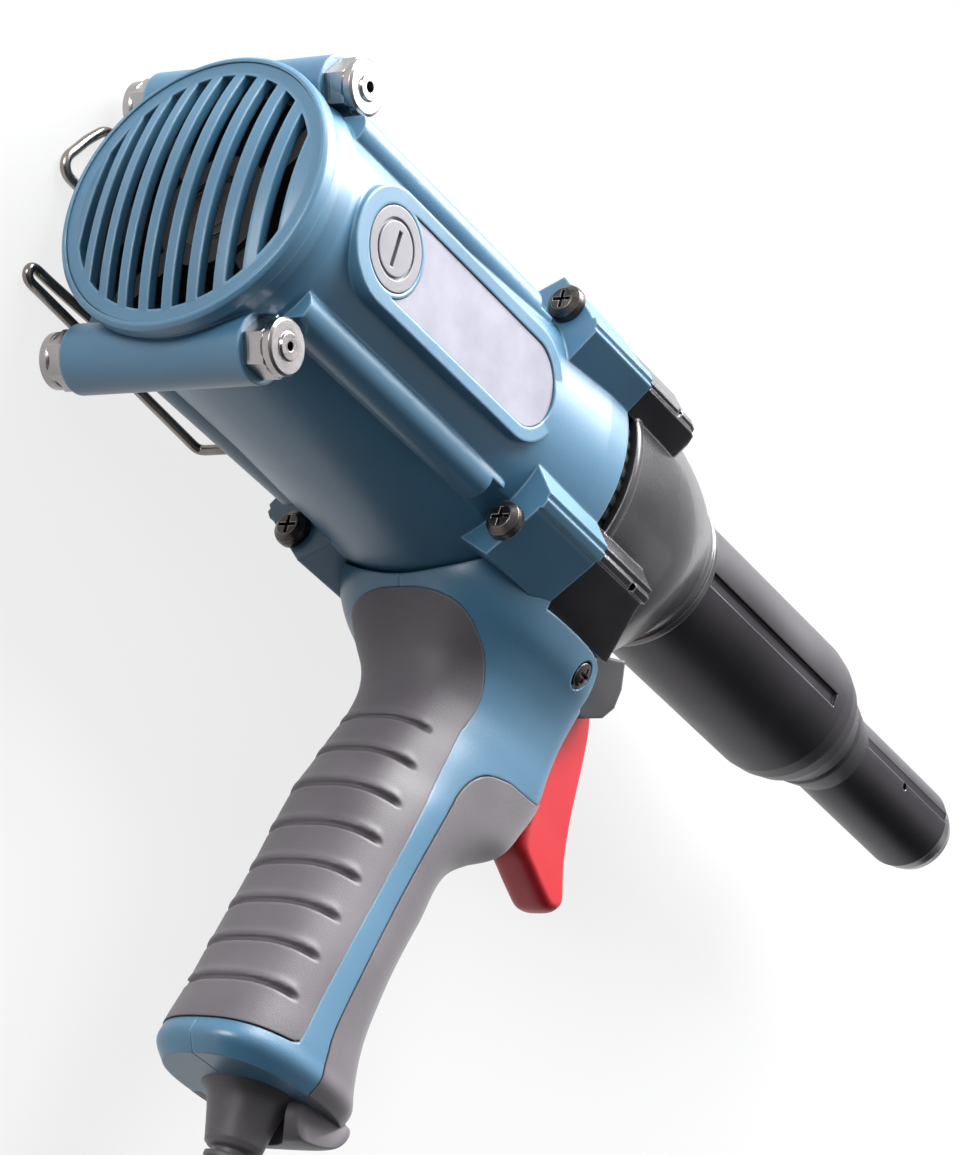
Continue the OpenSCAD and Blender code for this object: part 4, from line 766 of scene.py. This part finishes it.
def new_group(name, inputs, outputs):
    """Empty shader group with named sockets; each input has its starting value."""
    group = bpy.data.node_groups.new(name, "ShaderNodeTree")
    for label, kind, value in inputs:
        socket = group.interface.new_socket(label, in_out="INPUT", socket_type=kind)
        if value is not None:
            socket.default_value = value
    for label, kind in outputs:
        group.interface.new_socket(label, in_out="OUTPUT", socket_type=kind)
    return group, group.nodes.new("NodeGroupInput"), group.nodes.new("NodeGroupOutput")


def preset(node, values):
    """Sets inputs of a node by name."""
    for label, value in values.items():
        node.inputs[label].default_value = value


def add_node(tree, kind, values=None):
    """New shader node, with starting values for some of its inputs."""
    node = tree.nodes.new("ShaderNode" + kind)
    preset(node, values or {})
    return node


def add_ramp(tree, low, dark, high, light):
    """Colour ramp that runs from one colour to another between two levels."""
    ramp = add_node(tree, "ValToRGB")
    for stop, level, colour in zip(ramp.color_ramp.elements, (low, high), (dark, light)):
        stop.position = level
        stop.color = colour
    return ramp


def math_node(tree, operation, first, second):
    """Maths node on two sockets or numbers; gives its output socket."""
    node = add_node(tree, "Math")
    node.operation = operation
    for socket, value in zip(node.inputs, (first, second)):
        if isinstance(value, (int, float)):
            socket.default_value = value
        else:
            tree.links.new(value, socket)
    return node.outputs[0]


def make_grain_group():
    """Grain: a fine noise for the moulded or cast skin, and a slow one for uneven tone."""
    group, given, result = new_group(
        "skin_grain",
        [("Place", "NodeSocketVector", None), ("Grain Scale", "NodeSocketFloat", 1500.0),
         ("Tone Scale", "NodeSocketFloat", 30.0)],
        [("Grain", "NodeSocketFloat"), ("Tone", "NodeSocketFloat")],
    )
    fine = add_node(group, "TexNoise", {"Detail": 2.0, "Roughness": 0.6})
    slow = add_node(group, "TexNoise", {"Detail": 3.0})
    for node, label in ((fine, "Grain Scale"), (slow, "Tone Scale")):
        group.links.new(given.outputs["Place"], node.inputs["Vector"])
        group.links.new(given.outputs[label], node.inputs["Scale"])
    group.links.new(fine.outputs["Fac"], result.inputs["Grain"])
    group.links.new(slow.outputs["Fac"], result.inputs["Tone"])
    return group


def make_edge_group():
    """Edges: a normal rounded over the given radius, and a mask where it leaves the face's own normal."""
    group, given, result = new_group(
        "edges_rubbed_and_lit",
        [("Radius", "NodeSocketFloat", 0.0006), ("Reach", "NodeSocketFloat", 6.0)],
        [("Edge", "NodeSocketFloat"), ("Normal", "NodeSocketVector")],
    )
    rounded = add_node(group, "Bevel")
    rounded.samples = 6
    face = add_node(group, "NewGeometry")
    dot = add_node(group, "VectorMath")
    dot.operation = "DOT_PRODUCT"
    group.links.new(given.outputs["Radius"], rounded.inputs["Radius"])
    group.links.new(rounded.outputs["Normal"], dot.inputs[0])
    group.links.new(face.outputs["Normal"], dot.inputs[1])
    bent = math_node(group, "SUBTRACT", 1.0, dot.outputs["Value"])
    mask = math_node(group, "MULTIPLY", bent, given.outputs["Reach"])
    mask = math_node(group, "MINIMUM", mask, 1.0)
    group.links.new(mask, result.inputs["Edge"])
    group.links.new(rounded.outputs["Normal"], result.inputs["Normal"])
    return group


GRAIN = make_grain_group()
EDGES = make_edge_group()


def finish(name, dark, light, rough, *, grain=1500.0, depth=0.12, tone=30.0, edge=None, edge_rub_and_highlight=0.3,
           soft=0.5, metal=0.0, coat=0.0, sheen=0.0, gloss=0.5, marks=None):
    """Material with uneven tone between two colours, a grained skin and rounded edges, lightened towards
    the edge colour partly by scuffing and partly as a painted highlight.

    rough is the lowest and highest roughness, soft the edge rounding in millimetres, and marks turns
    on turning lines: "x" or "z" for rings about that axis.
    """
    material = bpy.data.materials.new(name)
    material.use_nodes = True
    tree = material.node_tree
    shader = tree.nodes["Principled BSDF"]
    place = add_node(tree, "TexCoord")
    skin = add_node(tree, "Group")
    skin.node_tree = GRAIN
    preset(skin, {"Grain Scale": grain, "Tone Scale": tone})
    tree.links.new(place.outputs["Object"], skin.inputs["Place"])
    edge_probe = add_node(tree, "Group")
    edge_probe.node_tree = EDGES
    edge_probe.inputs["Radius"].default_value = soft * MM

    ramp = add_ramp(tree, 0.32, dark, 0.68, light)
    tree.links.new(skin.outputs["Tone"], ramp.inputs["Fac"])

    # Edges lighten towards the edge colour: partly scuffing, partly a painted highlight on the rounded edges
    rub_and_highlight_mask = math_node(tree, "MULTIPLY", edge_probe.outputs["Edge"], skin.outputs["Tone"])
    rub_and_highlight_mask = math_node(tree, "MULTIPLY", rub_and_highlight_mask, 2 * edge_rub_and_highlight)
    mix = add_node(tree, "Mix")
    mix.data_type = "RGBA"
    mix.inputs["B"].default_value = edge or light
    tree.links.new(rub_and_highlight_mask, mix.inputs["Factor"])
    tree.links.new(ramp.outputs["Color"], mix.inputs["A"])
    tree.links.new(mix.outputs["Result"], shader.inputs["Base Color"])

    span = add_node(tree, "MapRange", {"From Min": 0.3, "From Max": 0.7, "To Min": rough[0],
                                       "To Max": rough[1]})
    tree.links.new(skin.outputs["Tone"], span.inputs["Value"])
    tree.links.new(span.outputs["Result"], shader.inputs["Roughness"])

    height = skin.outputs["Grain"]
    if marks:
        rings = add_node(tree, "TexWave")
        rings.wave_type = "BANDS"
        rings.bands_direction = marks.upper()
        preset(rings, {"Scale": 420.0, "Distortion": 1.2, "Detail": 1.0})
        tree.links.new(place.outputs["Object"], rings.inputs["Vector"])
        lines = math_node(tree, "MULTIPLY", rings.outputs["Fac"], 0.7)
        height = math_node(tree, "ADD", lines, math_node(tree, "MULTIPLY", height, 0.4))
    bump = add_node(tree, "Bump", {"Strength": depth, "Distance": 0.0004})
    tree.links.new(height, bump.inputs["Height"])
    tree.links.new(edge_probe.outputs["Normal"], bump.inputs["Normal"])
    tree.links.new(bump.outputs["Normal"], shader.inputs["Normal"])

    preset(shader, {"Metallic": metal, "Specular IOR Level": gloss, "Coat Weight": coat,
                    "Coat Roughness": 0.12, "Sheen Weight": sheen})
    return material


# The light edge colours are partly scuffing and partly a painted highlight along the rounded edges; on the
# blue plastic, the case paint and the red trigger they are a painted highlight
BLUE_PLASTIC = finish("blue_plastic", linear(58, 102, 130), linear(66, 112, 140), (0.32, 0.42), grain=2600,
                      depth=0.10, tone=22, edge=linear(132, 176, 200), edge_rub_and_highlight=0.5, soft=0.9, gloss=0.85)
GRIP_RUBBER = finish("grip_rubber", linear(76, 71, 76), linear(90, 85, 90), (0.46, 0.58), grain=3000,
                     depth=0.16, tone=40, edge=linear(150, 144, 150), edge_rub_and_highlight=0.25, soft=0.5, sheen=0.15)
CAST_GREY = finish("cast_case_paint", linear(40, 38, 41), linear(52, 50, 53), (0.24, 0.34), grain=900,
                   depth=0.05, tone=45, edge=linear(205, 203, 208), edge_rub_and_highlight=0.75, soft=0.7, metal=0.3, coat=0.25)
NOSE_FINISH = finish("blackened_steel", linear(52, 49, 53), linear(64, 61, 65), (0.34, 0.46), grain=2200,
                     depth=0.04, tone=35, edge=linear(120, 118, 122), edge_rub_and_highlight=0.5, soft=0.6, metal=0.75)
TURNED_STEEL = finish("turned_steel", linear(146, 142, 142), linear(178, 174, 172), (0.20, 0.32), grain=2400,
                      depth=0.05, tone=60, edge=linear(235, 233, 230), edge_rub_and_highlight=0.4, soft=0.25, metal=1.0,
                      marks="z")
CAP_STEEL = finish("nose_cap_steel", linear(112, 110, 112), linear(146, 144, 146), (0.24, 0.34), grain=2000,
                   depth=0.05, tone=60, edge=linear(230, 228, 228), edge_rub_and_highlight=0.4, soft=0.3, metal=1.0,
                   marks="x")
DARK_STEEL = finish("oiled_steel", linear(84, 80, 80), linear(112, 108, 106), (0.22, 0.36), grain=1800,
                    depth=0.06, tone=70, edge=linear(190, 186, 182), edge_rub_and_highlight=0.5, soft=0.25, metal=1.0)
WIRE_STEEL = finish("hook_wire", linear(120, 114, 110), linear(150, 144, 138), (0.22, 0.34), grain=2500,
                    depth=0.05, tone=90, soft=0.2, metal=1.0)
RED_PLASTIC = finish("red_plastic", linear(172, 16, 28), linear(188, 24, 36), (0.38, 0.46), grain=2600,
                     depth=0.05, tone=30, edge=linear(232, 92, 98), edge_rub_and_highlight=0.35, soft=0.9)
LABEL_FOIL = finish("bare_label_foil", linear(130, 129, 142), linear(144, 143, 156), (0.44, 0.54), grain=1600,
                    depth=0.03, tone=120, edge=linear(190, 190, 200), edge_rub_and_highlight=0.3, soft=0.2)
CAP_PLASTIC = finish("grey_cap_plastic", linear(118, 116, 122), linear(132, 130, 136), (0.38, 0.48),
                     grain=2600,
                     depth=0.08, tone=60, edge=linear(228, 228, 232), edge_rub_and_highlight=0.4, soft=0.4)
SCREW_BLACK = finish("screw_black_oxide", linear(56, 50, 50), linear(92, 86, 84), (0.24, 0.38), grain=1800,
                     depth=0.06, tone=200, edge=linear(205, 200, 196), edge_rub_and_highlight=0.8, soft=0.3, metal=0.9)
BLACK_PLASTIC = finish("black_plastic", linear(30, 30, 32), linear(40, 40, 42), (0.40, 0.52), grain=2400,
                       depth=0.08, tone=60, edge=linear(74, 74, 78), edge_rub_and_highlight=0.3, soft=0.4)
GUARD_PLASTIC = finish("guard_plastic", linear(26, 25, 28), linear(34, 32, 36), (0.34, 0.44), grain=2000,
                       depth=0.07, tone=50, edge=linear(128, 126, 130), edge_rub_and_highlight=0.4, soft=1.2)
# Near-black, darker than the black plastic: partly the ring's own black, partly painted shade in the air gap
RING_BLACK_AND_SHADE = finish("air_gap_black_and_shade", linear(8, 8, 9), linear(12, 12, 13), (0.6, 0.7), depth=0.05, soft=0.2)
CORD_RUBBER = finish("cord_rubber", linear(30, 29, 31), linear(42, 41, 43), (0.46, 0.58), grain=2600,
                     depth=0.10, tone=60, soft=0.2)
BOOT_RUBBER = finish("boot_rubber", linear(62, 58, 62), linear(84, 79, 84), (0.40, 0.52), grain=2200,
                     depth=0.10, tone=50, edge=linear(120, 114, 120), edge_rub_and_highlight=0.3, soft=0.4, sheen=0.1)
ALUMINIUM = finish("cast_aluminium", linear(150, 150, 154), linear(182, 182, 186), (0.34, 0.46), grain=900,
                   depth=0.14, tone=50, edge=linear(215, 215, 218), edge_rub_and_highlight=0.5, soft=0.3, metal=1.0)
COPPER = finish("lacquered_copper", linear(150, 74, 42), linear(190, 104, 62), (0.26, 0.38), grain=700,
                depth=0.3, tone=160, edge=linear(222, 140, 96), edge_rub_and_highlight=0.4, soft=0.3, metal=1.0)
BRONZE = finish("sintered_bronze", linear(140, 104, 58), linear(172, 132, 78), (0.34, 0.46), grain=2600,
                depth=0.12, tone=90, edge=linear(206, 168, 110), edge_rub_and_highlight=0.4, soft=0.2, metal=1.0)
FAN_PLASTIC = finish("fan_plastic", linear(206, 202, 190), linear(226, 222, 210), (0.44, 0.56), grain=2200,
                     depth=0.06, tone=50, soft=0.4)
CARBON = finish("carbon_block", linear(28, 28, 30), linear(46, 46, 48), (0.5, 0.64), grain=1600, depth=0.15,
                tone=120, soft=0.2, metal=0.2)
CORE_STEEL = finish("laminated_core", linear(74, 74, 80), linear(110, 110, 116), (0.34, 0.5), grain=900,
                    depth=0.2, tone=80, soft=0.2, metal=0.9, marks="x")

# Finish of every CAD node, also of those that a finer piece stands for
FINISH_OF = {
    BLUE_PLASTIC: ["motor_housing", "rear_grille", "handle_right", "handle_cover"],
    GRIP_RUBBER: ["rear_grip", "front_grip"],
    CAST_GREY: ["gear_case"],
    NOSE_FINISH: ["nose_sleeve", "nose_tube", "jaw_case"],
    TURNED_STEEL: ["fitted_nosepiece", "spare_nosepieces_right", "spare_nosepieces_left", "plug_pins"],
    CAP_STEEL: ["nose_cap", "pull_screw"],
    DARK_STEEL: ["rotor_shaft", "lay_gear", "spindle_nut", "thrust_bearing", "nut_bearing", "rear_bearing",
                 "front_bearing", "jaw_1", "jaw_2", "jaw_3", "jaw_pusher", "jaw_spring", "trigger_pin",
                 "trigger_spring"],
    WIRE_STEEL: ["hanging_hook"],
    RED_PLASTIC: ["trigger"],
    LABEL_FOIL: ["label_plate"],
    CAP_PLASTIC: ["brush_caps"],
    SCREW_BLACK: ["housing_screws", "cover_screws", "saddle_screws"],
    BLACK_PLASTIC: ["bearing_bracket", "switch_body", "cord_clamp", "cord_tie", "switch_plunger"],
    GUARD_PLASTIC: ["trigger_guard"],
    RING_BLACK_AND_SHADE: ["air_ring"],
    CORD_RUBBER: ["cord", "cord_coil", "plug_body"],
    BOOT_RUBBER: ["strain_relief"],
    ALUMINIUM: ["gear_plate"],
    COPPER: ["field_coils", "rotor_windings", "commutator"],
    BRONZE: ["lay_bushes", "brush_holders"],
    FAN_PLASTIC: ["fan"],
    CARBON: ["carbon_brushes"],
    CORE_STEEL: ["stator_core", "rotor_core"],
}
for material, nodes in FINISH_OF.items():
    for node in nodes:
        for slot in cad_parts[node].material_slots:
            slot.material = material

for material, pieces in (
    (CORD_RUBBER, [cord_piece, plug_piece]),
    (BOOT_RUBBER, [boot_piece]),
    (BLUE_PLASTIC, [handle_right_piece, handle_left_piece]),
    (GRIP_RUBBER, [rear_rubber, front_rubber]),
    (RED_PLASTIC, [trigger_piece]),
    (WIRE_STEEL, [hook_piece]),
    (CAST_GREY, [case_piece]),
    (RING_BLACK_AND_SHADE, [gap_piece]),
    (DARK_STEEL, [trigger_coil, jaw_coil]),
    (SCREW_BLACK, saddle_pair),
):
    for piece in pieces:
        piece.data.materials.clear()
        piece.data.materials.append(material)


# Bench and light, in the frame's metres
BENCH_HALF = 6.0
MIDDLE = (-0.2, -0.02, 0.0)


def make_bench():
    """Pale flat bench: almost plain white to the camera, and in glossy reflections a white glow near the
    tool, a painted reflection that fades with distance.
    """
    count = 121
    s = np.linspace(-BENCH_HALF, BENCH_HALF, count)
    x, y = np.meshgrid(s, s, indexing="ij")
    z = np.full_like(x, BENCH_Z * MM)
    mesh = bpy.data.meshes.new("bench")
    points = np.stack([x, y, z], -1).reshape(-1, 3)
    mesh.from_pydata(points.tolist(), [], grid_faces(count, count, False))
    mesh.update()
    bench = link("bench", mesh)
    paper = bpy.data.materials.new("bench_paper")
    paper.use_nodes = True
    tree = paper.node_tree
    tree.nodes.clear()
    out = add_node(tree, "OutputMaterial")
    matt = add_node(tree, "BsdfDiffuse", {"Color": (0.48, 0.48, 0.49, 1)})
    glow = add_node(tree, "Emission", {"Color": (1, 1, 1, 1), "Strength": 1.0})
    both = add_node(tree, "MixShader")
    ray = add_node(tree, "LightPath")
    seen = math_node(tree, "MAXIMUM", ray.outputs["Is Camera Ray"], ray.outputs["Is Transmission Ray"])
    share = math_node(tree, "MULTIPLY", seen, 0.80)
    # Painted reflection: glossy rays see the bench glow white near the tool, less with distance
    spot = add_node(tree, "NewGeometry")
    away = add_node(tree, "VectorMath")
    away.operation = "DISTANCE"
    away.inputs[1].default_value = (-0.35, -0.05, BENCH_Z * MM)
    tree.links.new(spot.outputs["Position"], away.inputs[0])
    near = add_node(tree, "MapRange", {"From Min": 0.35, "From Max": 0.85, "To Min": 0.85,
                                       "To Max": 0.10})
    tree.links.new(away.outputs["Value"], near.inputs["Value"])
    painted_reflection = math_node(tree, "MULTIPLY", ray.outputs["Is Glossy Ray"], near.outputs["Result"])
    share = math_node(tree, "MAXIMUM", share, painted_reflection)
    tree.links.new(share, both.inputs["Fac"])
    tree.links.new(matt.outputs[0], both.inputs[1])
    tree.links.new(glow.outputs[0], both.inputs[2])
    tree.links.new(both.outputs[0], out.inputs["Surface"])
    bench.data.materials.append(paper)


make_bench()


def soft_box(name, at, size, power):
    """Rectangular lamp at a point, facing the tool's middle; its size is in metres, its power in watts."""
    data = bpy.data.lights.new(name, "AREA")
    data.shape = "RECTANGLE"
    data.size, data.size_y = size
    data.energy = power
    lamp = link(name, data)
    lamp.location = at
    lamp.rotation_euler = (Vector(MIDDLE) - Vector(at)).to_track_quat("-Z", "Y").to_euler()


soft_box("key_box", at=(0.0, 1.08, 0.66), size=(1.4, 0.8), power=76.0)
soft_box("side_box", at=(1.0, 0.1, 0.8), size=(0.4, 0.7), power=0.5)
soft_box("fill_box", at=(-1.7, 0.10, 0.22), size=(0.5, 0.5), power=13.0)


def make_sky():
    """Soft room light: bright above the tool's top, dim behind the camera, and plain white to the camera."""
    world = bpy.data.worlds.new("studio")
    bpy.context.scene.world = world
    world.use_nodes = True
    tree = world.node_tree
    room = tree.nodes["Background"]
    place = add_node(tree, "TexCoord")
    towards = add_node(tree, "VectorMath")
    towards.operation = "DOT_PRODUCT"
    towards.inputs[1].default_value = (0.12, 0.88, 0.45)
    tree.links.new(place.outputs["Generated"], towards.inputs[0])
    ramp = add_ramp(tree, 0.42, (0.06, 0.065, 0.07, 1), 0.92, (0.90, 0.91, 0.94, 1))
    lift = math_node(tree, "MULTIPLY", towards.outputs["Value"], 0.5)
    lift = math_node(tree, "ADD", lift, 0.5)
    tree.links.new(lift, ramp.inputs["Fac"])
    tree.links.new(ramp.outputs["Color"], room.inputs["Color"])
    white = add_node(tree, "Background", {"Color": (1, 1, 1, 1)})
    mix = add_node(tree, "MixShader")
    ray = add_node(tree, "LightPath")
    tree.links.new(ray.outputs["Is Camera Ray"], mix.inputs["Fac"])
    tree.links.new(room.outputs[0], mix.inputs[1])
    tree.links.new(white.outputs[0], mix.inputs[2])
    tree.links.new(mix.outputs[0], tree.nodes["World Output"].inputs["Surface"])


make_sky()
bpy.context.scene.view_settings.view_transform = "Standard"

bpy.context.view_layer.update()
